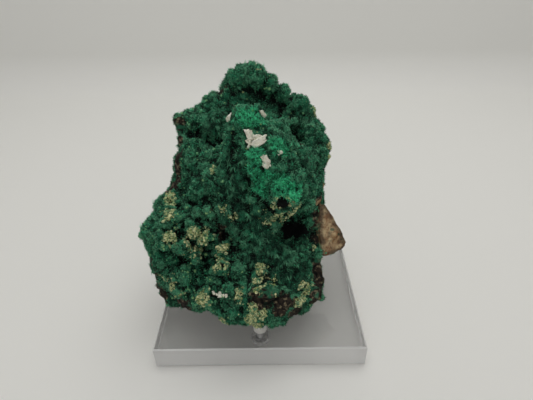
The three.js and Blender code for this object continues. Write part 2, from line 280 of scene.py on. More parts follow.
# A ridge is a line of places, a half-width and a height.
RIDGES = {
    "edge of the curtain": ([(-8.5, -3, 81), (-9.5, -8, 75), (-11.5, -13, 68)], 1.2, 1.5),
    "crease left of the bulge": (
        [
            (-4, -6, 84),
            (-3.9, -9.7, 81),
            (-3.6, -12, 77),
            (-3.8, -15, 73),
            (-4, -17, 69.5),
            (-2.6, -17, 63),
        ],
        1.1,
        -1.9,
    ),
    "crease under the bulge": ([(-2.6, -17, 63), (1.6, -18.3, 58.3), (4.9, -18, 54.7)], 1.2, -1.2),
    "crease right of the bulge": (
        [
            (4, 2, 82),
            (5.5, -5, 82),
            (9.5, -8, 78.5),
            (13, -10, 74.5),
            (16, -11, 70.5),
            (18.3, -12.6, 65),
        ],
        2.0,
        -2.6,
    ),
    "crease far right of the bulge": (
        [(18.3, -12.6, 65), (18.8, -13, 60), (18, -14.5, 57)],
        1.6,
        -1.6,
    ),
    "moat of the mound": (
        [
            (-19.5, 3.6, 75.4),
            (-18.5, 0.6, 73),
            (-14.5, -1, 72),
            (-10.8, -3.5, 75),
            (-9.6, -2, 79),
            (-10, 0, 81),
        ],
        1.5,
        -3.2,
    ),
    "lip of the bulge": ([(17, -13, 55), (14, -16, 52), (10, -17, 49.5), (6, -19, 50)], 1.5, 2.0),
    "brow of the right hole": ([(9, 5, 77), (14, 6, 77), (19, 6, 74)], 1.6, 1.5),
    "lower left fold": ([(-36, -12, 44), (-32, -20, 40), (-30, -24, 34)], 2.0, 1.2),
}

SHRINK = 1.0  # room left for the balls and the velvet
# The grids that the stone is rebuilt on, from its first form to its finished crust.
BASE_VOXEL = 1.0
FORM_VOXEL = 0.8
CRUST_VOXEL = 0.56
FRAGMENT_VOXEL = 0.35
BALL_TRIES = 9000  # places tried for the balls, before they are thinned out
CRISPNESS = 1.5  # how much the crevices are deepened and the balls raised


def joined(parts):
    """One mesh from several (points, faces) pairs, with the points in millimetres."""
    points, faces, start = [], [], 0
    for part_points, part_faces in parts:
        points.append(part_points)
        faces.append(part_faces + start)
        start += len(part_points)
    return np.concatenate(points), np.concatenate(faces)


def mesh_from(name, points, faces):
    """A mesh from arrays of points in millimetres and of triangles."""
    mesh = bpy.data.meshes.new(name)
    mesh.vertices.add(len(points))
    mesh.vertices.foreach_set("co", (points * MM).astype(np.float32).ravel())
    mesh.loops.add(faces.size)
    mesh.loops.foreach_set("vertex_index", faces.astype(np.int32).ravel())
    mesh.polygons.add(len(faces))
    starts = np.arange(0, faces.size, faces.shape[1], dtype=np.int32)
    mesh.polygons.foreach_set("loop_start", starts)
    mesh.update(calc_edges=True)
    return mesh


def triangles_of(mesh):
    mesh.calc_loop_triangles()
    faces = np.empty(len(mesh.loop_triangles) * 3, np.int32)
    mesh.loop_triangles.foreach_get("vertices", faces)
    return faces.reshape(-1, 3)


def edges_of(mesh):
    edges = np.empty(len(mesh.edges) * 2, np.int32)
    mesh.edges.foreach_get("vertices", edges)
    return edges.reshape(-1, 2)


def remeshed(mesh, voxel):
    """The mesh rebuilt on a grid of this size in millimetres."""
    work = bpy.data.objects.new("work", mesh)
    bpy.context.scene.collection.objects.link(work)
    modifier = work.modifiers.new("remesh", "REMESH")
    modifier.mode = "VOXEL"
    modifier.voxel_size = voxel * MM
    graph = bpy.context.evaluated_depsgraph_get()
    made = bpy.data.meshes.new_from_object(work.evaluated_get(graph))
    bpy.data.objects.remove(work)
    return made


def neighbour_mean(values, edges):
    """Each vertex's mean over the vertices that it has an edge with."""
    total = np.zeros_like(values)
    count = np.bincount(edges.ravel(), minlength=len(values)).astype(values.dtype)
    for axis in range(values.shape[1]):
        near = np.bincount(edges[:, 0], values[edges[:, 1], axis], len(values))
        far = np.bincount(edges[:, 1], values[edges[:, 0], axis], len(values))
        total[:, axis] = near + far
    return total / np.maximum(count, 1)[:, None]


def smoothed(values, edges, rounds):
    for _ in range(rounds):
        values = (values + neighbour_mean(values, edges)) / 2
    return values


def disc_distance(points, normals, place):
    """Distance from a place, measured along the skin there, far above and below it."""
    offset = points - np.array(place, float)
    nearest = np.argmin((offset**2).sum(1))
    close = (offset - offset[nearest]) ** 2
    facing = normals[close.sum(1) < 4].mean(0)
    facing /= np.linalg.norm(facing)
    height = offset @ facing
    across = np.sqrt(np.maximum((offset**2).sum(1) - height**2, 0))
    return np.where(np.abs(height) < 7, across, 99.0)


def line_distance(points, normals, line):
    """Distance from the nearest stretch of a line, measured along the skin."""
    nearest = np.full(len(points), 99.0)
    for start, end in zip(line[:-1], line[1:]):
        start, end = np.array(start, float), np.array(end, float)
        along = end - start
        share = np.clip((points - start) @ along / (along @ along), 0, 1)
        offset = points - start - share[:, None] * along
        height = (offset * normals).sum(1)
        across = np.sqrt(np.maximum((offset**2).sum(1) - height**2, 0))
        nearest = np.minimum(nearest, np.where(np.abs(height) < 5, across, 99))
    return nearest


def bell(distance, radius):
    return np.exp(-((distance / radius) ** 2))


def skin_normals(mesh, rounds):
    """The mesh's normals, evened out over this many rounds."""
    _, normals = mesh_arrays(mesh)
    return unit(smoothed(normals, edges_of(mesh), rounds))


def raise_skin(mesh, points, normals, height):
    """Moves the points out by these heights, but never below the stone's foot."""
    points = points + normals * height[:, None]
    points[:, 2] = np.maximum(points[:, 2], FLOOR)
    set_points(mesh, points)


def welded_stone():
    """The CAD stone on an even grid, with its facets smoothed away."""
    welded = bmesh.new()
    welded.from_mesh(CAD_STONE.data)
    bmesh.ops.remove_doubles(welded, verts=welded.verts, dist=1e-6)
    copy = bpy.data.meshes.new("stone_copy")
    welded.to_mesh(copy)
    welded.free()
    base = remeshed(copy, BASE_VOXEL)
    points, _ = mesh_arrays(base)
    set_points(base, smoothed(points, edges_of(base), 5))
    points, _ = mesh_arrays(base)
    set_points(base, points - SHRINK * skin_normals(base, 6))
    return base


def lump_balls(base):
    """The middles and radii of the lumps, found from where they meet the stone."""
    points, _ = mesh_arrays(base)
    normals = skin_normals(base, 8)
    middles, radii = [], []
    for group in LUMPS.values():
        for place, radius, proud in group:
            nearest = ((points - np.array(place)) ** 2).sum(1).argmin()
            middles.append(points[nearest] + normals[nearest] * (proud + SHRINK - radius))
            radii.append(radius)
    for middle, radius in BLOBS:
        middles.append(np.array(middle, float))
        radii.append(radius)
    return np.array(middles), np.array(radii)


def taken_from(made):
    """The points and triangles of a working mesh, which is then freed."""
    points = np.array([vertex.co for vertex in made.verts])
    faces = np.array([[vertex.index for vertex in face.verts] for face in made.faces])
    made.free()
    return points, faces


def convex_solid(corners):
    """The points and triangles of the tightest convex solid round some corners."""
    made = bmesh.new()
    for corner in corners:
        made.verts.new(corner)
    bmesh.ops.convex_hull(made, input=made.verts)
    loose = [vertex for vertex in made.verts if not vertex.link_faces]
    bmesh.ops.delete(made, geom=loose, context="VERTS")
    bmesh.ops.triangulate(made, faces=made.faces)
    made.verts.index_update()
    return taken_from(made)


def chip(corners, back):
    """A closed angular block between a face's corners and the same face moved back."""
    corners = np.array(corners, float)
    return convex_solid(np.concatenate([corners, corners + np.array(back)]))


def stone_body():
    """The stone's large forms: lumps, chips, hollows and ridges on the smooth stone."""
    rng = np.random.default_rng(7)
    base = welded_stone()
    points, _ = mesh_arrays(base)
    middles, radii = lump_balls(base)
    parts = [(points, triangles_of(base)), balls(middles, radii, 4, rng, 0.12)]
    parts += [chip(corners, back) for corners, back in CHIPS.values()]
    body = remeshed(mesh_from("body", *joined(parts)), FORM_VOXEL)
    edges = edges_of(body)
    points, _ = mesh_arrays(body)
    set_points(body, smoothed(points, edges, 1))
    points, _ = mesh_arrays(body)
    normals = skin_normals(body, 6)
    height = 0.7 * fractal(points, 9, 3, 1) + 1.5 * np.abs(noise(points, 5.5, 5)) - 0.5
    for place, radius, rise in RISES.values():
        height += rise * bell(disc_distance(points, normals, place), radius)
    for line, width, rise in RIDGES.values():
        height += rise * bell(line_distance(points, normals, line), width)
    raise_skin(body, points, normals, height)
    return body


# ---------------------------------------------------- stone: balls and crust

# Smooth stretches of the crust, where few balls grow: places and radii.
SMOOTH = [
    ((7, -26, 40), 12),
    ((-9, -12, 70), 5.5),
    ((-8, -18, 60), 6),
    ((-7, -20, 52), 5),
    ((2, -28, 36), 6),
    ((-14, 3, 76), 6),
    ((25, 5, 60), 8),
    ((-2, 10, 82), 6),
]
GARDEN = ((-20, -19, 42), 17)  # the lumpy lower left, with the smallest balls


def region(points, places, ragged=0.0, seed=50):
    """From 0 to 1: how far each point is inside any of the places' radii."""
    inside = np.zeros(len(points))
    wobble = ragged * fractal(points, 3.0, 2, seed) if ragged else 0
    for place, radius in places:
        offset = points - np.array(place, float)
        distance = lengths_of(offset) + wobble * radius
        inside = np.maximum(inside, 1 - smoothstep(0.75 * radius, 1.1 * radius, distance))
    return inside


def surface_samples(mesh, count, rng, weight=None):
    """Random places on a mesh, evenly by area or by weight: triangles and shares."""
    faces = triangles_of(mesh)
    points, _ = mesh_arrays(mesh)
    corners = points[faces]
    span = np.cross(corners[:, 1] - corners[:, 0], corners[:, 2] - corners[:, 0])
    area = lengths_of(span)
    if weight is not None:
        area = area * weight[faces].mean(1)
    chosen = np.searchsorted(np.cumsum(area) / area.sum(), rng.random(count))
    chosen = np.minimum(chosen, len(faces) - 1)
    first = np.sqrt(rng.random(count))
    second = rng.random(count)
    shares = np.stack([1 - first, first * (1 - second), first * second], 1)
    return faces[chosen], shares


def at_samples(values, faces, shares):
    """A value of the mesh's vertices at the sampled places."""
    if values.ndim == 1:
        return (values[faces] * shares).sum(1)
    return (values[faces] * shares[:, :, None]).sum(1)


def thinned(points, spacing):
    """The indices of points kept so that no two are closer than their spacing."""
    cell = float(spacing.max())
    kept, grid = [], {}
    for index, point in enumerate(points):
        home = tuple((point // cell).astype(int))
        near = [
            other
            for x in (-1, 0, 1)
            for y in (-1, 0, 1)
            for z in (-1, 0, 1)
            for other in grid.get((home[0] + x, home[1] + y, home[2] + z), ())
        ]
        if near:
            gaps = ((points[near] - point) ** 2).sum(1)
            if (gaps < np.minimum(spacing[near], spacing[index]) ** 2).any():
                continue
        kept.append(index)
        grid.setdefault(home, []).append(index)
    return np.array(kept)


def ball_shape(rings):
    """The points and triangles of a unit icosphere."""
    made = bmesh.new()
    bmesh.ops.create_icosphere(made, subdivisions=rings, radius=1)
    return taken_from(made)


def balls(centres, radii, rings, rng, uneven=0.15):
    """Many lumpy balls as one set of points and triangles."""
    shape, faces = ball_shape(rings)
    stretch = 1 + uneven * rng.uniform(-1, 1, (len(centres), 1, 3))
    points = centres[:, None] + radii[:, None, None] * shape * stretch
    lumps = noise(points.reshape(-1, 3), 0.9, 30).reshape(len(centres), -1, 1)
    points = centres[:, None] + (points - centres[:, None]) * (1 + 0.12 * lumps)
    starts = np.arange(len(centres))[:, None, None] * len(shape)
    return points.reshape(-1, 3), (faces + starts).reshape(-1, 3)


CRUST_FACES = Vector((-0.05, -0.55, 0.83))  # the side that the malachite grew on


def crust_cover(points, normals):
    """From 0, bare matrix, to 1, malachite."""
    facing = normals @ np.array(CRUST_FACES) + 0.22 * fractal(points, 6, 3, 3)
    upper = smoothstep(48, 70, points[:, 2])
    edge = -0.08 - 0.5 * upper
    return smoothstep(edge - 0.06, edge + 0.06, facing)


def add_balls(body):
    """The body joined with the balls of malachite that bud from it."""
    rng = np.random.default_rng(11)
    points, normals = mesh_arrays(body)
    edges = edges_of(body)
    soft = smoothed(normals, edges, 4)
    cover = crust_cover(points, soft)
    garden = region(points, [GARDEN], 0.2)
    smooth = np.maximum(region(points, SMOOTH, 0.2), region(points, MATRIX, 0.2))
    weight = cover * (0.16 + 1.5 * garden) * (1 - 0.95 * smooth)
    faces, shares = surface_samples(body, BALL_TRIES, rng, weight)
    places = at_samples(points, faces, shares)
    outward = unit(at_samples(soft, faces, shares))
    fine = at_samples(garden, faces, shares)
    size = 0.55 + 1.5 * rng.random(len(places)) ** 2
    size *= (1 + 0.35 * noise(places, 8, 21)) * (0.68 + 0.37 * fine)
    kept = thinned(places, size * 1.3)
    places, outward, size, fine = places[kept], outward[kept], size[kept], fine[kept]
    sunk = rng.uniform(0.6, 0.9, len(places)) - 0.55 * fine * rng.random(len(places))
    centres = places - outward * (size * sunk)[:, None]
    clear = centres[:, 2] - size > FLOOR
    grown = balls(centres[clear], size[clear], 3, rng)
    return joined([(points, triangles_of(body)), grown])


# Small rimmed craters and plain holes: place, radius, depth, height of the rim.
CRATERS = [
    ((8.2, -21.6, 59.8), 2.4, 4.4, 1.2),
    ((-31.2, -9.6, 53.8), 1.3, 1.8, 0.4),
    ((-12.2, -27.4, 39.3), 1.0, 1.6, 0.4),
    ((-12.8, -24, 37.5), 1.0, 1.6, 0.4),
    ((-14.8, -22, 38), 0.8, 1.4, 0.4),
    ((-30.9, -9.7, 54.4), 1.3, 1.8, 0.4),
    ((14.5, 2, 73), 3.0, 3.0, 0.3),
    ((-15.5, -21, 43.5), 1.6, 1.2, 0.3),
    ((-18.5, -23.5, 36.2), 2.0, 1.8, 0),
    ((-26.5, -19, 45.8), 2.0, 1.8, 0),
    ((-16, 8.5, 76), 3.0, 1.5, 0),
    ((29.5, -13, 37.5), 0.6, 0.9, 0),
]


def crust_mesh():
    """The finished stone: body, balls, craters and a fine rough skin."""
    points, faces = add_balls(stone_body())
    crust = remeshed(mesh_from("grown", points, faces), CRUST_VOXEL)
    crust.name = "malachite_crust"
    edges = edges_of(crust)
    points, _ = mesh_arrays(crust)
    soft = skin_normals(crust, 8)
    height = np.zeros(len(points))
    for place, radius, depth, rim in CRATERS:
        away = disc_distance(points, soft, place)
        height -= depth * (1 - smoothstep(0.3 * radius, 1.1 * radius, away))
        height += rim * bell(away - 1.35 * radius, 0.4 * radius)
    proud = ((points - smoothed(points, edges, 25)) * soft).sum(1)
    height += CRISPNESS * np.clip(proud, -1, 0.7)
    cover = crust_cover(points, soft)
    chips = np.abs(fractal(points, 4.5, 3, 70))
    height += (1 - cover) * (0.9 * chips - 0.7)
    height += 0.16 * fractal(points, 1.5, 2, 80) + 0.6 * np.abs(noise(points, 2.2, 83)) - 0.2
    raise_skin(crust, points, soft, height)
    shade_smooth(crust)
    return crust


def fragment_mesh():
    """The tan fragment: flat broken faces, a rough skin and one small hole."""
    points, faces = chip(FRAGMENT_FACE, FRAGMENT_BACK)
    made = remeshed(mesh_from("tan_fragment", points, faces), FRAGMENT_VOXEL)
    points, normals = mesh_arrays(made)
    edges = edges_of(made)
    points = smoothed(points, edges, 1)
    height = 0.3 * fractal(points, 6.0, 2, 60) + 0.14 * fractal(points, 1.2, 3, 61)
    away = lengths_of(points - np.array(FRAGMENT_HOLE))
    height -= 1.8 * bell(away, 0.9)
    set_points(made, points + smoothed(normals, edges, 2) * height[:, None])
    outline = FRAGMENT_FACE + FRAGMENT_FACE[:1]
    rim = 1 - smoothstep(0.5, 2.4, line_distance(points, normals, outline))
    stain = np.clip(rim + 0.8 * fractal(points, 2.0, 3, 62), 0, 1) * 0.75
    # Painted shade along the outline, where the fragment meets the stone, mixed with noise stains,
    # and painted shade in the hole.
    painted_shade = np.maximum(stain, bell(away, 0.8))
    store(made, "hole", painted_shade)
    return made


# ---------------------------------------------------------- stone: colouring

# Places and radii, in millimetres, of what shows through or grows on the green, and, in the last
# two lists, of where shade is painted on it.
LIME = [
    ((7.5, -19.5, 58.5), 3.0),  # rim of the bulge's hole and the lip below it
    ((4.0, -17.5, 54.8), 1.9),
    ((5.6, -18.2, 52.4), 1.4),
    ((8.6, -17.2, 51.5), 1.5),
    ((11.3, -16.3, 52.6), 1.5),
    ((13.4, -16.5, 54.6), 1.3),
    ((3.1, -18.9, 51.0), 1.6),
    ((4.5, -20.0, 48.7), 1.3),
    ((-31.7, -8.1, 54.0), 2.2),  # upper left of the garden
    ((-30.3, -15.8, 52.2), 2.6),
    ((-32.9, -13.2, 51.3), 1.8),
    ((-30.0, -21.3, 47.3), 2.6),
    ((-23.6, -20.5, 47.7), 2.0),  # the garden
    ((-21.8, -21.1, 49.4), 2.2),
    ((-19.5, -20.4, 48.2), 1.8),
    ((-17.8, -19.2, 47.8), 1.6),
    ((-24.0, -20.6, 44.3), 2.0),
    ((-21.0, -21.5, 46.0), 2.2),
    ((-18.5, -20.9, 45.7), 1.6),
    ((-22.6, -20.5, 41.5), 2.2),
    ((-20.5, -20.0, 40.1), 1.4),
    ((-12.5, -22.3, 43.6), 2.4),
    ((-13.9, -26.6, 38.4), 1.8),
    ((-11.2, -27.8, 39.5), 1.8),
    ((-9.0, -18.2, 52.4), 1.7),
    ((-11.4, -18.8, 55.8), 1.4),
    ((-7.3, -18.5, 53.3), 1.0),
    ((1.2, -28.4, 37.3), 2.2),  # above the brown patch
    ((2.4, -30.5, 35.6), 2.8),
    ((4.8, -30.4, 33.9), 1.8),
    ((0.0, -31.6, 35.5), 2.4),
    ((-6.2, -33.2, 33.3), 1.8),
    ((-6.9, -35.1, 31.0), 1.6),
    ((-1.6, -38.2, 28.8), 3.0),  # the toe
    ((0.6, -38.4, 27.6), 2.4),
    ((-3.0, -39.0, 25.4), 2.4),
    ((-0.7, -38.4, 22.5), 1.8),
    ((15.8, -27.4, 28.0), 2.6),
    ((14.7, -31.7, 26.6), 2.2),
    ((-19.9, -33.4, 29.6), 2.8),
    ((-30.6, -27.0, 30.6), 2.2),
    ((-33.7, -23.3, 29.8), 1.8),
    ((-26.6, -29.0, 27.7), 1.6),
    ((22.5, 16.0, 76.5), 2.6),  # right and left edges
    ((26.9, 9.7, 65.2), 1.8),
    ((26.2, 6.1, 61.5), 1.6),
    ((-7.2, 1.7, 83.5), 1.0),
    ((-14.6, -10.6, 67.3), 1.4),
    ((20.8, -15.5, 38.6), 2.0),
    ((0.0, -27.3, 38.7), 1.0),
    ((-12.4, -36.3, 21.3), 1.8),
    ((0.7, 13.5, 92.8), 0.6),
]
MATRIX = [
    ((-12.6, -18.0, 47.6), 2.6),  # brown patch in the garden
    ((-12.0, -17.3, 44.3), 2.2),
    ((-16.1, -17.0, 54.6), 1.6),
    ((-0.6, -34.9, 32.6), 3.0),  # brown patch above the toe
    ((1.7, -35.9, 31.8), 4.0),
    ((4.5, -35.9, 32.1), 3.8),
    ((7.9, -33.9, 29.0), 3.8),
    ((12.4, -32.4, 27.0), 2.6),
    ((-1.7, -35.9, 30.5), 1.8),
    ((7.1, -35.1, 25.7), 2.6),  # lower right
    ((12.5, -32.0, 21.0), 4.0),
    ((20.5, -19.9, 32.2), 3.6),
    ((21.7, -22.0, 27.0), 4.0),
    ((20.5, -26.5, 23.2), 4.0),
    ((-28.6, 7.6, 75.4), 3.2),  # left edge, from the knob down
    ((-28.0, 4.0, 71.0), 2.4),
    ((-28.6, 0.0, 62.5), 2.8),
    ((-29.5, 1, 67), 3.0),
    ((-29.1, -2.0, 58.0), 2.4),
    ((-32.4, -1.5, 54.3), 3.6),
    ((-37.8, -20.6, 38.6), 2.0),
    ((-37.2, -23.0, 36.7), 2.6),
    ((-30.6, -26.3, 23.2), 3.4),
    ((-26.3, -29.3, 22.5), 3.6),
    ((-42, -16, 34), 3.0),
    ((-38.0, -20.8, 30.5), 2.4),  # down the lower left edge
    ((-38.8, -19.0, 26.0), 2.4),
    ((-38.2, -19.3, 21.8), 2.8),
    ((-36.2, -21.9, 18.6), 2.6),
    ((-13.1, 17.8, 84.5), 2.4),
    ((24.2, -1.8, 54.5), 2.2),  # beside the tan fragment
    ((22.1, -8.6, 53.0), 2.6),
    ((20.8, -12.5, 39.0), 2.2),
    ((20.8, -10.5, 47.5), 2.6),
    ((20.5, -11.5, 43.5), 2.6),
    ((18.5, -16, 40), 2.2),
    ((27, -9, 42), 7.0),
    ((28, -12, 36), 5.0),
    ((14.9, -3.5, 72.5), 2.0),
]
ORANGE = [
    ((24.2, -2, 54.5), 2.2),
    ((22, -9, 52), 2.0),
    ((27, -8, 42), 7.0),
    ((28, -12, 36), 5.0),
    ((12, -36, 22), 2.0),
]
EMERALD = [
    ((-2.5, -5, 83.5), 4.2),  # the upper lobe
    ((0.5, -8, 82.5), 3.0),
    ((-0.6, -16.7, 74.7), 3.0),  # down the left side of the bulge
    ((0.0, -18.0, 71.2), 3.0),
    ((0.4, -18.0, 66.9), 3.0),
    ((2.0, -18.5, 63.8), 3.0),
    ((4.0, -17.8, 68.5), 2.4),
    ((9.0, -20.7, 66.2), 3.6),  # the swirl at its foot
    ((11.0, -20.5, 63.8), 3.2),
    ((6.5, -20.7, 64.9), 2.4),
    ((6.8, -14.3, 77.2), 2.6),  # its upper right
    ((8.9, -13.8, 75.0), 2.4),
]
# Painted shade: places that lie in shade, where the green is painted darker.
SHADE_PLACES = [
    ((-8.0, -10.5, 72), 4),  # the curtain
    ((-5.5, -14, 66), 4.5),
    ((-8, -17, 62), 5),
    ((-8, -20, 54), 6),
    ((3, -20, 52), 6),
    ((12, -2, 76), 4.5),
    ((17, -10, 68), 3.5),
    ((7, -26, 40), 12),  # the apron and the cave above it
    ((14, -18, 43), 7),
    ((-12, 4, 77), 6),
    ((-4, 8, 84), 3),
    ((-12.5, -9.5, 70), 3.5),  # the lobe left of the curtain
]
# Painted shade: holes and the cave, painted near black inside.
HOLE_SHADE_PLACES = [
    ((8.2, -21.2, 59.6), 2.0),  # in the foot of the bulge
    ((8.5, -19.4, 58.9), 2.9),
    ((-30.8, -9.0, 53.2), 1.6),
    ((-12.1, -26.9, 38.6), 1.4),
    ((12.3, -11.5, 41.5), 4.4),  # the cave under it
    ((16.8, -11.5, 42.5), 2.6),
]
# Lines of pale grains. This one runs along the lip over the cave.
LIME_LINES = [
    [
        (3.1, -18.9, 51.0),
        (5.6, -18.0, 52.6),
        (8.6, -17.4, 53.0),
        (11.3, -17.0, 54.0),
        (14.0, -16.4, 56.3),
    ],
]


def pale_lines(points, normals):
    """From 0 to 1: the pale rims of the small craters and the pale lines."""
    pale = np.zeros(len(points))
    for place, radius, _, rim in CRATERS:
        if rim > 0.35:
            away = disc_distance(points, normals, place)
            close = lengths_of(points - np.array(place))
            ring = bell(away - 1.15 * radius, 0.25 * radius)
            pale = np.maximum(pale, ring * smoothstep(1.9 * radius, 1.4 * radius, close))
    for line in LIME_LINES:
        pale = np.maximum(pale, bell(line_distance(points, normals, line), 0.9))
    return pale


def paint(mesh):
    """Stores what each point of the stone is, and where shade is painted on it, as named values
    from 0 to 1.
    """
    edges = edges_of(mesh)
    points, _ = mesh_arrays(mesh)
    soft = skin_normals(mesh, 12)
    near = ((points - smoothed(points, edges, 8)) * soft).sum(1) / 0.22
    wide = ((points - smoothed(points, edges, 60)) * soft).sum(1) / 1.1
    # How far each point stands proud of its neighbours: the materials paint shade in the low
    # places and highlights on the high ones.
    raised = np.clip(0.5 + 0.25 * near + 0.35 * wide, 0, 1)
    matrix = region(points, MATRIX, 0.35, 51)
    cover = crust_cover(points, soft) * (1 - matrix)
    speckle = smoothstep(-0.4, 0.1, fractal(points, 1.3, 2, 53) + 1.2 * (raised - 0.5))
    dusting = region(points, [(spot, 1.9 * radius) for spot, radius in LIME], 0.4, 58)
    scattered = smoothstep(0.6, 0.9, fractal(points, 0.9, 2, 59) + 0.8 * (raised - 0.5))
    lime = np.maximum(region(points, LIME, 0.4, 52) * speckle, 0.6 * dusting * scattered)
    pale = pale_lines(points, soft)
    lime = np.maximum(lime, pale)
    values = {
        "crust": cover,
        "lime": lime,
        "pale": pale,
        "orange": region(points, ORANGE, 0.3, 54),
        "emerald": region(points, EMERALD, 0.35, 55),
        # Painted shade on the shaded places, and near-black painted shade in the holes and the
        # cave.
        "painted_shade": region(points, SHADE_PLACES, 0.3, 56),
        "hole": 0.9 * region(points, HOLE_SHADE_PLACES, 0.2, 57),
        "raised": raised,
    }
    for name, value in values.items():
        store(mesh, name, value)
    return values


# --------------------------------------------------- stone: velvet and beads


def needle_shape(roots, axes, lengths, widths, turns):
    """Closed three-sided spikes: points and triangles, four triangles each."""
    helper = np.where(np.abs(axes[:, 2:]) < 0.9, [[0.0, 0.0, 1.0]], [[1.0, 0.0, 0.0]])
    across = np.cross(axes, helper)
    across /= np.linalg.norm(across, axis=1)[:, None]
    beside = np.cross(axes, across)
    corners = []
    for corner in range(3):
        angle = turns + corner * math.tau / 3
        out = across * np.cos(angle)[:, None] + beside * np.sin(angle)[:, None]
        corners.append(roots + out * (widths / 2)[:, None])
    corners.append(roots + axes * lengths[:, None])
    points = np.stack(corners, 1)
    faces = np.array([[0, 2, 1], [0, 1, 3], [1, 2, 3], [2, 0, 3]])
    starts = np.arange(len(roots))[:, None, None] * 4
    return points.reshape(-1, 3), (faces + starts).reshape(-1, 3)


def add_values(mesh, values, each):
    """Stores values given for each small shape, or already for each of its points."""
    for name, value in values.items():
        spread = value if len(value) == len(mesh.vertices) else np.repeat(value, each)
        store(mesh, name, spread)


def tufts(roots, size, seed):
    """The middle of the tuft that each root belongs to, and its random number."""
    warped = roots / size + 0.35 * np.stack([noise(roots, size, seed + i) for i in range(3)], 1)
    cell = np.floor(warped)
    jitter = np.stack([lattice(cell.astype(np.int64), seed + 3 + i) for i in range(3)], 1)
    middle = (cell + 0.5 + 0.3 * jitter) * size
    return middle, (lattice(cell.astype(np.int64), seed + 6) + 1) / 2


def velvet(name, crust, values, pile):
    """Needles standing on the green crust, leaning together in tufts."""
    count, lengths, widths, tuft, seed = pile
    rng = np.random.default_rng(seed)
    points, normals = mesh_arrays(crust)
    weight = values["crust"] * (1 - 0.9 * values["lime"]) * (0.35 + 1.1 * values["raised"])
    weight *= (1 - crystal_seats(points)) * np.clip(1 - 1.2 * values["hole"], 0, 1)
    faces, shares = surface_samples(crust, 2 * count, rng, weight)
    roots = at_samples(points, faces, shares)
    middle, shade = tufts(roots, tuft, seed)
    stray = lengths_of(middle - roots) / tuft + 0.15 * rng.normal(size=2 * count)
    kept = np.sort(stray.argsort()[:count])
    faces, shares, roots = faces[kept], shares[kept], roots[kept]
    middle, shade = middle[kept], shade[kept]
    up = unit(at_samples(normals, faces, shares))
    inward = across_skin(middle - roots, up)
    soft = at_samples(values["emerald"], faces, shares)
    length = rng.uniform(*lengths, count) * (1 + 0.4 * soft)
    axes = up * length[:, None] + 0.6 * inward
    axes = unit(axes + 0.2 * length[:, None] * rng.normal(size=(count, 3)))
    width = rng.uniform(*widths, count)
    roots = roots - axes * 0.08
    made, made_faces = needle_shape(roots, axes, length, width, rng.random(count) * math.tau)
    pile = mesh_from(name, made, made_faces)
    painted = {key: at_samples(value, faces, shares) for key, value in values.items()}
    painted["shade"] = 0.72 * shade + 0.28 * rng.random(count)
    painted["spark"] = rng.random(count)
    add_values(pile, painted, 4)
    add_values(pile, {"tip": np.tile([0.0, 0.0, 0.0, 1.0], count)}, 4)
    return pile


def crystal_seats(points):
    """1 where a crystal sits, fading to 0 beside it."""
    seats = []
    for seat, facing, outlines in CRYSTALS.values():
        across, up, _ = facing_frame(facing)
        for outline in outlines:
            right, high = np.mean(outline, 0)
            size = 1.2 * np.abs(outline - np.mean(outline, 0)).max() + 0.3
            seats.append((np.array(seat) + across * right + up * high, size))
    return region(points, seats)


def fibre_shape(paths, widths):
    """Thin three-sided fibres along paths of points, ending in a point."""
    count, steps = paths.shape[:2]
    along = unit((paths[:, -1] - paths[:, 0]))
    helper = np.where(np.abs(along[:, 2:]) < 0.9, [[0.0, 0.0, 1.0]], [[1.0, 0.0, 0.0]])
    across = unit(np.cross(along, helper))
    beside = np.cross(along, across)
    rings = []
    for step in range(steps - 1):
        for corner in range(3):
            angle = corner * math.tau / 3
            out = across * math.cos(angle) + beside * math.sin(angle)
            thin = 1 - 0.6 * step / (steps - 1)
            rings.append(paths[:, step] + out * (widths * thin / 2)[:, None])
    rings.append(paths[:, -1])
    points = np.stack(rings, 1)
    faces = [[0, 2, 1]]
    for step in range(steps - 2):
        for corner in range(3):
            here = 3 * step + corner
            beyond = 3 * step + (corner + 1) % 3
            faces += [[here, beyond, here + 3], [beyond, beyond + 3, here + 3]]
    last = 3 * (steps - 2)
    faces += [[last + corner, last + (corner + 1) % 3, 3 * (steps - 1)] for corner in range(3)]
    starts = np.arange(count)[:, None, None] * points.shape[1]
    return points.reshape(-1, 3), (np.array(faces) + starts).reshape(-1, 3), points.shape[1]


SPRAY_FIBRES = 14
SPRAY_STEPS = 4
SWIRL = (11.2, -20.6, 64.6)  # the silk curls round this place
SWIRL_RADIUS = 4.5


def fibre_headings(roots, up, hang, rng):
    """The way that each fibre lies: fanned from its spray, curled, or hanging down."""
    sprays = len(roots) // SPRAY_FIBRES
    heading = np.repeat(unit(rng.normal(size=(sprays, 3))), SPRAY_FIBRES, 0)
    offset = roots - np.array(SWIRL)
    curl = bell(lengths_of(offset), SWIRL_RADIUS)[:, None]
    heading = (1 - curl) * heading + curl * unit(np.cross(up, offset))
    heading = (1 - hang) * heading + hang * np.array([0.0, 0.0, -1.0])
    heading = heading + (0.55 - 0.35 * np.maximum(curl, hang)) * rng.normal(size=roots.shape)
    return unit(across_skin(heading, up))


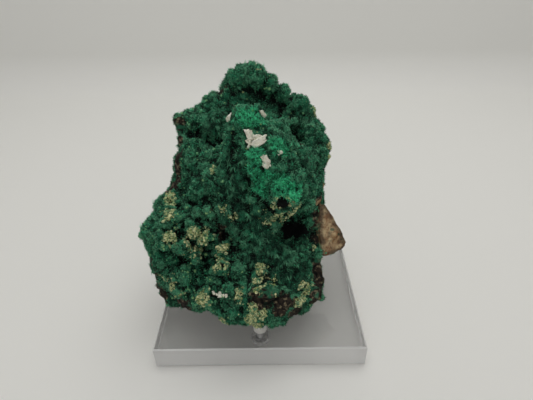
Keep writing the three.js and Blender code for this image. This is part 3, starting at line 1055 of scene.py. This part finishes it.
def silk(name, crust, values, spray):
    """Sprays of longer silky fibres: fanned over the emerald lobes, or hanging down."""
    sprays, spread, hang, seed = spray
    rng = np.random.default_rng(seed)
    points, normals = mesh_arrays(crust)
    where = values["painted_shade"] * (1 - values["emerald"]) if hang else 0.05 + values["emerald"]
    weight = values["crust"] * (1 - values["lime"]) * (1 - values["hole"]) * where
    faces, shares = surface_samples(crust, sprays, rng, weight)
    roots = np.repeat(at_samples(points, faces, shares), SPRAY_FIBRES, 0)
    up = np.repeat(unit(at_samples(normals, faces, shares)), SPRAY_FIBRES, 0)
    count = len(roots)
    heading = fibre_headings(roots, up, hang, rng)
    roots = roots + spread * across_skin(heading, up)
    lengths = rng.uniform(1.0, 2.6, count)
    share = np.linspace(0, 1, SPRAY_STEPS)
    rise = 0.75 * share - 0.55 * share**2
    paths = roots[:, None] + lengths[:, None, None] * (
        heading[:, None] * share[None, :, None] + up[:, None] * rise[None, :, None]
    )
    made, made_faces, each = fibre_shape(paths, rng.uniform(0.10, 0.17, count))
    pile = mesh_from(name, made, made_faces)
    painted = {
        key: np.repeat(at_samples(value, faces, shares), SPRAY_FIBRES)
        for key, value in values.items()
    }
    painted["shade"] = rng.random(count)
    painted["spark"] = rng.random(count)
    add_values(pile, painted, each)
    tip = np.repeat(share, 3)[: each - 1]
    add_values(pile, {"tip": np.tile(np.append(tip, 1.0), count)}, each)
    return pile


def bead_cover(name, crust, values):
    """Where beads grow: pale ones where the crust turns lime, green ones to the left."""
    weight = values["lime"] ** 2 + 0.0002 * values["crust"]
    if name == "green_beads":
        points, _ = mesh_arrays(crust)
        left = smoothstep(-4, -16, points[:, 0])
        clumps = smoothstep(0.0, 0.4, noise(points, 4.0, 303))
        weight = values["crust"] * (0.12 + left * clumps) * (1 - values["painted_shade"])
    open_ground = np.clip(1 - 1.5 * values["hole"], 0, 1)
    if name == "rim_beads":
        return values["pale"] ** 2 * open_ground
    return weight * smoothstep(0.2, 0.5, values["raised"]) * open_ground


def beads(name, crust, weight, count, seed):
    """Small beads crowded where this weight is high."""
    rng = np.random.default_rng(seed)
    points, normals = mesh_arrays(crust)
    faces, shares = surface_samples(crust, count * 3, rng, weight)
    places = at_samples(points, faces, shares)
    outward = unit(at_samples(normals, faces, shares))
    size = rng.uniform(0.2, 0.2 + 0.5 * rng.random(len(places)) ** 2)
    kept = thinned(places, size * 1.1)[:count]
    places, outward, size = places[kept], outward[kept], size[kept]
    made, made_faces = balls(places + outward * (0.25 * size)[:, None], size, 2, rng, 0.2)
    pile = mesh_from(name, made, made_faces)
    shade_smooth(pile)
    add_values(pile, {"shade": rng.random(len(kept))}, len(made) // len(kept))
    return pile


# ------------------------------------------------------------------ materials


def add(tree, kind, inputs=None, **settings):
    """A new shader node with its settings, its values and its links."""
    made = tree.nodes.new("ShaderNode" + kind)
    for key, value in settings.items():
        setattr(made, key, value)
    for key, value in (inputs or {}).items():
        if isinstance(value, bpy.types.NodeSocket):
            tree.links.new(value, made.inputs[key])
        else:
            made.inputs[key].default_value = value
    return made


def attribute(tree, name):
    return add(tree, "Attribute", attribute_name=name).outputs["Fac"]


def grain(tree, size, detail=3.0, roughness=0.55):
    """Noise from 0 to 1 whose bumps are about this many millimetres across."""
    place = add(tree, "TexCoord").outputs["Object"]
    inputs = {"Vector": place, "Scale": 1 / (size * MM), "Detail": detail, "Roughness": roughness}
    return add(tree, "TexNoise", inputs).outputs["Fac"]


def cells(tree, size):
    """The distance from the nearest of many scattered points, in cell sizes."""
    place = add(tree, "TexCoord").outputs["Object"]
    inputs = {"Vector": place, "Scale": 1 / (size * MM)}
    return add(tree, "TexVoronoi", inputs).outputs["Distance"]


def stretch(tree, value, low, high, start=0.0, end=1.0):
    """The value moved from the range low to high to the range start to end."""
    inputs = {"Value": value, "From Min": low, "From Max": high, "To Min": start, "To Max": end}
    return add(tree, "MapRange", inputs).outputs["Result"]


def math_node(tree, operation, first, second):
    return add(tree, "Math", {0: first, 1: second}, operation=operation).outputs[0]


def mix(tree, share, first, second):
    """A colour between two others."""
    return add(tree, "Mix", {0: share, 6: first, 7: second}, data_type="RGBA").outputs[2]


def relief(tree, height, distance, strength=1.0):
    inputs = {"Height": height, "Distance": distance * MM, "Strength": strength}
    return add(tree, "Bump", inputs).outputs["Normal"]


def roughness(tree, size, low, high):
    """A roughness between two values, mottled at this size in millimetres."""
    return stretch(tree, grain(tree, size), 0.3, 0.7, low, high)


def shader_material(name):
    """A new material, its node tree and its shader."""
    material = bpy.data.materials.new(name)
    material.use_nodes = True
    return material, material.node_tree, material.node_tree.nodes["Principled BSDF"]


def feed(tree, shader, **links):
    """Links sockets to the shader's inputs: base_color feeds Base Color."""
    for key, socket in links.items():
        tree.links.new(socket, shader.inputs[key.replace("_", " ").title()])


def colour(red, green, blue):
    """A shader colour from screen values out of 255."""

    def linear(value):
        value /= 255
        return value / 12.92 if value <= 0.04045 else ((value + 0.055) / 1.055) ** 2.4

    return (linear(red), linear(green), linear(blue), 1.0)


DEEP_GREEN = colour(8, 32, 23)
VELVET_GREEN = colour(38, 112, 82)
FRESH_GREEN = colour(64, 164, 120)
PALE_GREEN = colour(130, 210, 164)
DEEP_EMERALD = colour(0, 46, 30)
EMERALD_GREEN = colour(8, 178, 112)
BRIGHT_EMERALD = colour(96, 255, 186)
LIME_GREEN = colour(112, 134, 72)
LIME_PALE = colour(150, 194, 128)
CREAM = colour(232, 230, 176)
MATRIX_BROWN = colour(52, 44, 36)
MATRIX_BLACK = colour(16, 15, 13)
MATRIX_TAN = colour(132, 120, 96)
RUST = colour(146, 108, 74)
RUST_PALE = colour(196, 174, 134)
RUST_DARK = colour(96, 60, 40)


def streaks(tree, width, length, swirl=0.6):
    """Noise drawn out up and down the stone, like combed fibres."""
    place = add(tree, "TexCoord").outputs["Object"]
    scale = (1 / (width * MM), 1 / (length * MM), 1 / (length * MM))
    scaled = add(tree, "Mapping", {"Vector": place, "Scale": scale}).outputs[0]
    inputs = {"Vector": scaled, "Scale": 1.0, "Detail": 2.0, "Distortion": swirl}
    return add(tree, "TexNoise", inputs).outputs["Fac"]


def green_colour(tree):
    """Velvet green: mottled, streaked, emerald on the lobes, with painted shade in the pits and
    shaded places, and painted highlights on the peaks and in specks on the emerald.
    """
    mottle = stretch(tree, grain(tree, 1.5, 4.0, 0.7), 0.45, 0.58)
    patch = stretch(tree, grain(tree, 5.0), 0.42, 0.6)
    painted_shade = attribute(tree, "painted_shade")
    emerald = attribute(tree, "emerald")
    curls = stretch(tree, streaks(tree, 0.7, 0.9, 2.5), 0.52, 0.6)
    combed = stretch(tree, streaks(tree, 0.45, 3.0), 0.52, 0.62)
    hair = mix(tree, math_node(tree, "MAXIMUM", painted_shade, emerald), curls, combed)
    low = mix(tree, emerald, mix(tree, 0.9, VELVET_GREEN, DEEP_GREEN), DEEP_EMERALD)
    middle = mix(tree, emerald, mix(tree, patch, VELVET_GREEN, FRESH_GREEN), EMERALD_GREEN)
    high = mix(tree, emerald, mix(tree, patch, FRESH_GREEN, PALE_GREEN), BRIGHT_EMERALD)
    green = mix(tree, mottle, low, middle)
    green = mix(tree, math_node(tree, "MULTIPLY", hair, 0.75), green, high)
    # Painted shade: the shaded places darkened towards deep green.
    green = mix(tree, math_node(tree, "MULTIPLY", painted_shade, 0.62), green, DEEP_GREEN)
    # Painted shade: the low places darkened to deep green.
    depth = stretch(tree, attribute(tree, "raised"), 0.5, 0.2, 0.0, 1.0)
    green = mix(tree, depth, green, DEEP_GREEN)
    # Painted highlight: the high places lightened.
    top = stretch(tree, attribute(tree, "raised"), 0.7, 1.0, 0.0, 0.45)
    green = mix(tree, top, green, high)
    # Painted highlight specks on the emerald, and painted shade in the gaps between them.
    highlight_specks = stretch(tree, grain(tree, 0.9, 2.0), 0.53, 0.58, 0.0, 1.0)
    gaps = stretch(tree, grain(tree, 1.2, 2.0), 0.49, 0.43, 0.0, 0.95)
    green = mix(tree, math_node(tree, "MULTIPLY", emerald, highlight_specks), green, BRIGHT_EMERALD)
    green = mix(tree, math_node(tree, "MULTIPLY", emerald, gaps), green, DEEP_EMERALD)
    gloom = stretch(tree, grain(tree, 2.4, 4.0, 0.65), 0.5, 0.4, 0.0, 0.8)
    return mix(tree, gloom, green, DEEP_GREEN)


def lime_colour(tree):
    """Cream and lime grains, with painted shade in the gaps between them."""
    tone = mix(tree, stretch(tree, grain(tree, 0.7), 0.4, 0.6), LIME_GREEN, CREAM)
    # Painted shade: the gaps between the grains painted near black.
    gaps = stretch(tree, cells(tree, 0.7), 0.35, 0.55, 0.0, 0.92)
    return mix(tree, gaps, tone, colour(22, 34, 18))


def matrix_colour(tree):
    """Brown-black rock with tan grains, rusty where the orange patches are."""
    rock = mix(tree, stretch(tree, grain(tree, 1.0), 0.4, 0.6), MATRIX_BLACK, MATRIX_BROWN)
    rock = mix(tree, stretch(tree, grain(tree, 1.4, 5.0), 0.54, 0.66), rock, MATRIX_TAN)
    stain = stretch(tree, grain(tree, 4.0), 0.55, 0.65, 0.0, 0.75)
    rock = mix(tree, stain, rock, VELVET_GREEN)
    rust = mix(tree, stretch(tree, grain(tree, 2.2, 4.0), 0.35, 0.7), RUST, RUST_PALE)
    rust = mix(tree, stretch(tree, grain(tree, 1.0), 0.58, 0.7), rust, MATRIX_BROWN)
    return mix(tree, attribute(tree, "orange"), rock, rust)


def edge_between(tree, name, size=0.9):
    """A painted value with its border broken up by noise."""
    wobble = stretch(tree, grain(tree, size), 0.25, 0.75, -0.35, 0.35)
    value = math_node(tree, "ADD", attribute(tree, name), wobble)
    return stretch(tree, value, 0.4, 0.6)


def crust_material():
    material, tree, shader = shader_material("malachite_crust")
    green = mix(tree, 0.3, green_colour(tree), DEEP_GREEN)
    surface = mix(tree, edge_between(tree, "crust"), matrix_colour(tree), green)
    surface = mix(tree, edge_between(tree, "lime", 0.6), surface, lime_colour(tree))
    # Painted shade: the low pits and the holes painted near black.
    pit_shade = stretch(tree, attribute(tree, "raised"), 0.35, 0.1, 0.0, 0.9)
    hole = stretch(tree, attribute(tree, "hole"), 0.3, 0.7)
    pit_shade = math_node(tree, "MAXIMUM", pit_shade, hole)
    surface = mix(tree, pit_shade, surface, colour(6, 9, 8))
    rough = roughness(tree, 0.5, 0.62, 0.85)
    bumps = math_node(tree, "MULTIPLY", cells(tree, 0.45), grain(tree, 0.3))
    feed(tree, shader, base_color=surface, roughness=rough, normal=relief(tree, bumps, 0.35, 0.8))
    shader.inputs["Specular IOR Level"].default_value = 0.15
    return material


def velvet_material(name, sheen, glow):
    """Needles with painted shade at the root, each with its own share of light at the tip."""
    material, tree, shader = shader_material(name)
    green = green_colour(tree)
    shade = attribute(tree, "shade")
    # Painted shade: less light on the tips in the shaded places.
    shade_dimming = stretch(tree, attribute(tree, "painted_shade"), 0.0, 1.0, 1.0, 0.35 + 2 * glow)
    light = stretch(tree, shade, 0.55 - glow, 0.82 - glow, 0.0, 0.9)
    light = math_node(tree, "MULTIPLY", light, shade_dimming)
    high = mix(tree, attribute(tree, "emerald"), PALE_GREEN, BRIGHT_EMERALD)
    lit = mix(tree, light, green, high)
    lit = mix(tree, stretch(tree, shade, 0.45 - glow, 0.2 - glow, 0.0, 0.9), lit, DEEP_GREEN)
    # Painted glints: a few needles painted bright emerald.
    spark = stretch(tree, attribute(tree, "spark"), 0.955, 0.96, 0.0, 0.8)
    lit = mix(tree, spark, lit, BRIGHT_EMERALD)
    # Painted shade: deep green at the roots, full colour at the tips.
    tip = stretch(tree, attribute(tree, "tip"), 0.0, 0.6, 0.3, 1.0)
    surface = mix(tree, tip, DEEP_GREEN, lit)
    rough = stretch(tree, shade, 0, 1, 0.4, 0.65)
    feed(tree, shader, base_color=surface, roughness=rough)
    shader.inputs["Sheen Weight"].default_value = sheen
    shader.inputs["Sheen Tint"].default_value = (0.25, 1.0, 0.6, 1)
    shader.inputs["Specular IOR Level"].default_value = 0.18
    return material


def bead_material(name, low, high):
    material, tree, shader = shader_material(name)
    tone = mix(tree, attribute(tree, "shade"), low, high)
    green_spots = stretch(tree, grain(tree, 0.8), 0.5, 0.58, 0.0, 0.85)
    surface = mix(tree, green_spots, tone, VELVET_GREEN)
    rough = roughness(tree, 0.4, 0.5, 0.75)
    bumps = relief(tree, grain(tree, 0.25), 0.12, 0.7)
    feed(tree, shader, base_color=surface, roughness=rough, normal=bumps)
    return material


def fragment_material():
    """Tan rock, mottled darker, with green stains; painted shade darkens it near its edges and in
    its hole.
    """
    material, tree, shader = shader_material("tan_fragment")
    tone = mix(tree, stretch(tree, grain(tree, 2.5, 4.0), 0.38, 0.62), RUST, RUST_PALE)
    worn = stretch(tree, grain(tree, 0.8, 4.0), 0.52, 0.66, 0.0, 0.75)
    tone = mix(tree, worn, tone, RUST_DARK)
    green = stretch(tree, grain(tree, 3.0, 4.0), 0.6, 0.66, 0.0, 0.8)
    tone = mix(tree, green, tone, colour(62, 96, 74))
    # Painted shade near the edges and in the hole, with dark noise stains.
    tone = mix(tree, attribute(tree, "hole"), tone, colour(40, 30, 20))
    rough = roughness(tree, 0.5, 0.7, 0.9)
    bumps = relief(tree, grain(tree, 0.6, 5.0, 0.65), 0.3, 0.8)
    feed(tree, shader, base_color=tone, roughness=rough, normal=bumps)
    return material


def crystal_material():
    """Off-white, faintly waxy blades, mottled with a little grey."""
    material, tree, shader = shader_material("white_crystal")
    cloud = stretch(tree, grain(tree, 1.2), 0.3, 0.7)
    surface = mix(tree, cloud, colour(230, 228, 208), colour(254, 252, 240))
    grey_patches = stretch(tree, grain(tree, 0.8, 4.0), 0.56, 0.66, 0.0, 0.45)
    surface = mix(tree, grey_patches, surface, colour(150, 148, 128))
    rough = roughness(tree, 0.6, 0.3, 0.55)
    bumps = relief(tree, grain(tree, 0.35, 4.0), 0.18, 0.8)
    feed(tree, shader, base_color=surface, roughness=rough, normal=bumps)
    shader.inputs["Subsurface Weight"].default_value = 0.08
    shader.inputs["Subsurface Radius"].default_value = (0.6, 0.5, 0.4)
    shader.inputs["Subsurface Scale"].default_value = 0.6 * MM
    return material


def acrylic_material():
    """Clear acrylic, faintly dusty above and below; its upright edges are milky, a painted
    brightness standing in for light reflected inside the slab.
    """
    material, tree, shader = shader_material("clear_acrylic")
    normal = add(tree, "NewGeometry").outputs["True Normal"]
    slope = math_node(tree, "ABSOLUTE", add(tree, "SeparateXYZ", {0: normal}).outputs["Z"], 0.0)
    # Painted reflection: the upright edges let half the light through and look milky white, in
    # place of light reflected inside the slab.
    clear = stretch(tree, slope, 0.8, 0.9, 0.5, 0.92)
    haze = stretch(tree, grain(tree, 14.0, 2.0), 0.4, 0.7, 0.0, 0.04)
    scratches = relief(tree, grain(tree, 3.0, 2.0), 0.01, 0.25)
    feed(tree, shader, transmission_weight=clear, roughness=haze, normal=scratches)
    shader.inputs["Base Color"].default_value = (1, 1, 1, 1)
    shader.inputs["IOR"].default_value = 1.49
    return material


def peg_material():
    material, tree, shader = shader_material("white_peg")
    tone = mix(tree, grain(tree, 1.5), colour(226, 224, 218), colour(244, 243, 238))
    rough = roughness(tree, 0.8, 0.28, 0.42)
    bumps = relief(tree, grain(tree, 0.5), 0.02, 0.3)
    feed(tree, shader, base_color=tone, roughness=rough, normal=bumps)
    return material


def screw_material():
    """Bright steel, a little worn."""
    material, tree, shader = shader_material("steel_screw")
    tone = mix(tree, grain(tree, 0.6), colour(176, 178, 180), colour(206, 207, 208))
    rough = roughness(tree, 0.3, 0.35, 0.5)
    bumps = relief(tree, grain(tree, 0.3), 0.02, 0.4)
    feed(tree, shader, base_color=tone, roughness=rough, normal=bumps)
    shader.inputs["Metallic"].default_value = 0.85
    return material


# --------------------------------------------------------------------- pieces


def place(name, mesh, material, slot, *nodes):
    """Puts a finished mesh in the scene as a piece that rides on the frame."""
    mesh.materials.clear()
    mesh.materials.append(material)
    piece = bpy.data.objects.new(name, mesh)
    bpy.context.scene.collection.objects.link(piece)
    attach(piece, "root")
    if nodes:
        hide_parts(*nodes)
    return piece


def recolour(node, material):
    """Gives a carried-over CAD node its material."""
    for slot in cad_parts[node].material_slots:
        slot.material = material


# Each pile of needles: how many, their shortest and longest, their thinnest and
# widest, the size of a tuft, all in millimetres, and the seed.
VELVET = {
    "velvet_long": (32000, (0.55, 1.15), (0.2, 0.34), 1.3, 100),
    "velvet_middle": (38000, (0.4, 0.8), (0.16, 0.26), 0.9, 101),
    "velvet_short": (30000, (0.25, 0.55), (0.12, 0.2), 0.7, 102),
}


# Each kind of silk: how many sprays, how far their roots spread, in millimetres,
# whether they hang straight down, and the seed.
SILK = {
    "silk": (420, 0.25, 0.0, 200),
    "combed_silk": (150, 0.9, 1.0, 201),
}
# Each pile of beads: how many, the seed, and the two colours it is made of.
BEADS = {
    "lime_beads": (1150, 300, LIME_GREEN, CREAM),
    "cream_beads": (1150, 301, LIME_GREEN, CREAM),
    "green_beads": (800, 302, FRESH_GREEN, LIME_PALE),
    "rim_beads": (260, 304, LIME_PALE, CREAM),
}


def make_stone():
    crust = crust_mesh()
    values = paint(crust)
    place("malachite_crust", crust, crust_material(), STONE_SLOT, STONE)
    pile = velvet_material("velvet", 0.15, 0.0)
    for name, needles in VELVET.items():
        place(name, velvet(name, crust, values, needles), pile, STONE_SLOT)
    fibre = velvet_material("silk", 0.3, 0.25)
    for name, spray in SILK.items():
        place(name, silk(name, crust, values, spray), fibre, STONE_SLOT)
    for name, (count, seed, low, high) in BEADS.items():
        where = bead_cover(name, crust, values)
        pile = beads(name, crust, where, count, seed)
        place(name, pile, bead_material(name, low, high), STONE_SLOT)
    place("tan_fragment", fragment_mesh(), fragment_material(), STONE_SLOT)
    return mesh_arrays(crust)[0]


# Each crystal's seat on the stone, the way that it faces, and the outlines of its
# blades, in millimetres across and up from the seat.
CRYSTALS = {
    "spike": (
        (-8.7, -3.0, 80.0),
        (0.09, -0.92, 0.38),
        [
            [(0.5, 3.2), (0.2, 1.7), (-0.2, 0.2), (-1.0, 0.6), (-1.3, 1.7), (-0.7, 2.5)],
        ],
    ),
    "top": (
        (1.6, -6.0, 83.0),
        (0.01, -0.93, 0.37),
        [
            [(-0.6, 2.4), (0.7, 2.4), (1.0, 1.6), (0.7, 1.0), (0.0, 1.1)],
            [(0.0, 1.6), (1.1, 1.7), (1.8, 0.8), (1.6, 0.3), (1.2, 0.0), (0.3, 0.4)],
        ],
    ),
    "large": (
        (-0.5, -14.5, 77.5),
        (0.03, -0.9, 0.43),
        [
            [
                (-3.1, 4.8), (-1.7, 4.8), (-0.8, 4.5), (-0.3, 3.0), (0.3, 2.7), (0.1, 1.8),
                (-1.2, 1.1), (-2.3, 2.5),
            ],
            [(-0.2, 2.6), (0.7, 3.3), (2.0, 3.1), (2.6, 2.4), (1.8, 1.1), (0.2, 1.2)],
            [
                (-1.0, 0.6), (-0.1, 1.5), (1.5, 2.4), (3.4, 2.7), (3.7, 2.0), (3.6, 1.1),
                (2.8, 0.4), (1.7, -0.2), (0.8, -1.0), (-0.0, -1.0), (-0.8, -0.2),
            ],
            [(-2.9, 1.4), (-1.9, 2.0), (-1.2, 1.7), (-0.7, 0.8), (-1.2, 0.0), (-1.9, 0.2)],
            [(-1.9, 0.3), (-1.1, 0.3), (-1.7, -1.1), (-2.2, -1.0), (-2.3, -0.4)],
        ],
    ),
    "middle": (
        (3.0, -16.0, 72.5),
        (0.0, -0.89, 0.46),
        [
            [
                (-1.7, 1.4), (-0.7, 2.0), (0.2, 2.0), (0.7, 1.0), (1.4, 0.1), (1.0, -0.5),
                (-0.5, -0.4), (-1.2, 0.4),
            ],
            [
                (-0.6, -0.1), (0.8, -0.1), (1.4, -1.0), (1.3, -1.8), (0.3, -2.4), (-0.3, -2.2),
                (-1.3, -1.3), (-1.2, -0.7),
            ],
        ],
    ),
    "small": (
        (7.5, -15.0, 75.5),
        (-0.03, -0.9, 0.44),
        [
            [(-0.8, 0.0), (-0.1, 0.3), (0.5, 0.2), (0.9, -0.3), (0.5, -0.9), (-0.2, -0.9)],
            [(-0.8, -1.0), (-0.3, -0.9), (-0.3, -1.3), (-0.6, -1.4)],
        ],
    ),
    "low": (
        (-12.3, -33.0, 32.8),
        (0.11, -0.69, 0.72),
        [
            [(-3.3, 0.6), (-2.8, 0.9), (-2.2, -0.0), (-2.3, -0.7), (-2.9, -0.6)],
            [(-2.2, -0.2), (-1.2, -0.3), (-1.3, -1.1), (-2.0, -0.9)],
            [(-0.9, 0.1), (-0.2, 0.2), (-0.1, -0.9), (-0.1, -1.8), (-1.4, -1.6), (-1.4, -0.8)],
            [(0.0, -0.8), (0.7, -0.6), (1.0, -1.4), (0.3, -1.8)],
            [(1.0, -0.8), (1.7, -0.8), (1.9, -1.7), (1.2, -2.0), (0.8, -1.6)],
        ],
    ),
}


def facing_frame(facing):
    """The directions across, up and out of a surface that faces this way."""
    out = np.array(facing) / np.linalg.norm(facing)
    across = np.cross((0, 0, 1), out)
    across /= np.linalg.norm(across)
    return np.stack([across, np.cross(out, across), out])


def blade(rim, tilt, rng):
    """A closed angular plate, thickest inside its rim, with a root behind it."""
    middle = rim.mean(0)
    rings = []
    for size, height, rough in ((0.93, 0.4, 0.2), (0.65, 0.8, 0.3), (0.8, -2.5, 0.0)):
        jagged = 1 + 0.1 * rng.normal(size=(len(rim), 1))
        ring = middle + (rim - middle) * size * jagged
        lift = height + (ring - middle) @ tilt + rough * rng.normal(size=len(ring))
        rings.append(np.column_stack([ring, lift]))
    return convex_solid(np.concatenate(rings))


def crystal_mesh(name, stone):
    """The crystal's blades, each seated on the stone's points behind it."""
    seat, facing, outlines = CRYSTALS[name]
    rng = np.random.default_rng(len(name) + 90)
    axes = facing_frame(facing)
    local = (stone - np.array(seat)) @ axes.T
    local = local[np.abs(local[:, 2]) < 5]
    parts = []
    for outline in outlines:
        rim = np.array(outline)
        gap = local[:, :2] - rim.mean(0)
        behind = local[(gap**2).sum(1) < 1.2**2, 2]
        lift = np.percentile(behind, 80) if len(behind) else 0.0
        blades = [blade(rim, rng.uniform(-0.3, 0.3, 2), rng)]
        middle = rim.mean(0)
        knobs = np.concatenate([rim, (rim + np.roll(rim, 1, 0)) / 2])
        for knob in knobs:
            anchor = middle + rng.uniform(0.6, 0.95) * (knob - middle)
            small = anchor + rng.uniform(0.2, 0.38) * (rim - middle)
            blades.append(blade(small, rng.uniform(-0.8, 0.8, 2), rng))
        for points, faces in blades:
            points[:, 2] += lift
            parts.append((points @ axes + np.array(seat), faces))
    return mesh_from("white_crystal_" + name, *joined(parts))


def make_crystals(stone):
    material = crystal_material()
    for name in CRYSTALS:
        mesh = crystal_mesh(name, stone)
        place("white_crystal_" + name, mesh, material, "white_crystal", "crystal_" + name)


def finish_base():
    recolour("acrylic_base", acrylic_material())
    peg = peg_material()
    screw = screw_material()
    for side in ("front", "back_left", "back_right"):
        recolour("peg_" + side, peg)
        recolour("screw_" + side, screw)


# -------------------------------------------------------------------- camera

CAMERA_PLACE = Vector((3.2, -127.6, 131.0)) * MM
CAMERA_PITCH = 33.18  # degrees below the horizon
CAMERA_YAW = -0.1
CAMERA_ROLL = -0.8
LENS = 27.0  # mm on a 36 mm wide sensor


def make_camera():
    data = bpy.data.cameras.new("camera")
    data.sensor_width = 36.0
    data.lens = LENS
    data.clip_start = 0.01
    data.clip_end = 10.0
    camera = bpy.data.objects.new("camera", data)
    tilt = Matrix.Rotation(math.radians(90 - CAMERA_PITCH), 4, "X")
    turn = Matrix.Rotation(math.radians(-CAMERA_YAW), 4, "Z")
    roll = Matrix.Rotation(math.radians(CAMERA_ROLL), 4, "Z")
    camera.matrix_world = Matrix.Translation(CAMERA_PLACE) @ turn @ tilt @ roll
    bpy.context.scene.collection.objects.link(camera)
    bpy.context.scene.camera = camera


# --------------------------------------------------------------------- stage


def make_stage():
    """A pale floor that sweeps up into a backdrop."""
    start = 0.255
    radius = 0.036
    profile = [(-0.5, 0.0), (start, 0.0)]
    for step in range(1, 17):
        angle = math.radians(90 * step / 16)
        profile.append((start + radius * math.sin(angle), radius * (1 - math.cos(angle))))
    profile.append((start + radius, 0.9))
    half = 0.9
    vertices = [(side * half, y, z) for y, z in profile for side in (-1, 1)]
    faces = [(i, i + 1, i + 3, i + 2) for i in range(0, len(vertices) - 2, 2)]
    data = bpy.data.meshes.new("backdrop")
    data.from_pydata(vertices, [], faces)
    data.polygons.foreach_set("use_smooth", [True] * len(faces))
    backdrop = bpy.data.objects.new("backdrop", data)
    material = bpy.data.materials.new("backdrop")
    material.use_nodes = True
    shader = material.node_tree.nodes["Principled BSDF"]
    shader.inputs["Base Color"].default_value = (0.862, 0.862, 0.834, 1)
    shader.inputs["Roughness"].default_value = 0.9
    data.materials.append(material)
    bpy.context.scene.collection.objects.link(backdrop)
    backdrop.location.z = 0.02 * MM  # wets the slab's underside, as a soft mat does


def area_light(name, place, target, size, power, colour=(1, 1, 1)):
    data = bpy.data.lights.new(name, "AREA")
    data.shape = "SQUARE"
    data.size = size
    data.energy = power
    data.color = colour
    light = bpy.data.objects.new(name, data)
    light.location = place
    direction = Vector(target) - Vector(place)
    light.rotation_mode = "QUATERNION"
    light.rotation_quaternion = direction.to_track_quat("-Z", "Y")
    bpy.context.scene.collection.objects.link(light)
    return light


def make_lights():
    world = bpy.data.worlds.new("studio")
    bpy.context.scene.world = world
    world.use_nodes = True
    background = world.node_tree.nodes["Background"]
    background.inputs["Color"].default_value = (1.0, 0.985, 0.965, 1)
    background.inputs["Strength"].default_value = 0.32
    area_light("overhead", (0.04, 0.1, 0.6), (0, 0, 0), 0.55, 1.62, (1, 0.985, 0.96))
    area_light("front_fill", (-0.15, -0.5, 0.45), (0, 0, 0.04), 0.4, 0.35)


# ---------------------------------------------------------------------- make

bpy.context.scene.view_settings.view_transform = "Standard"
make_camera()
make_stage()
make_lights()
make_crystals(make_stone())
finish_base()
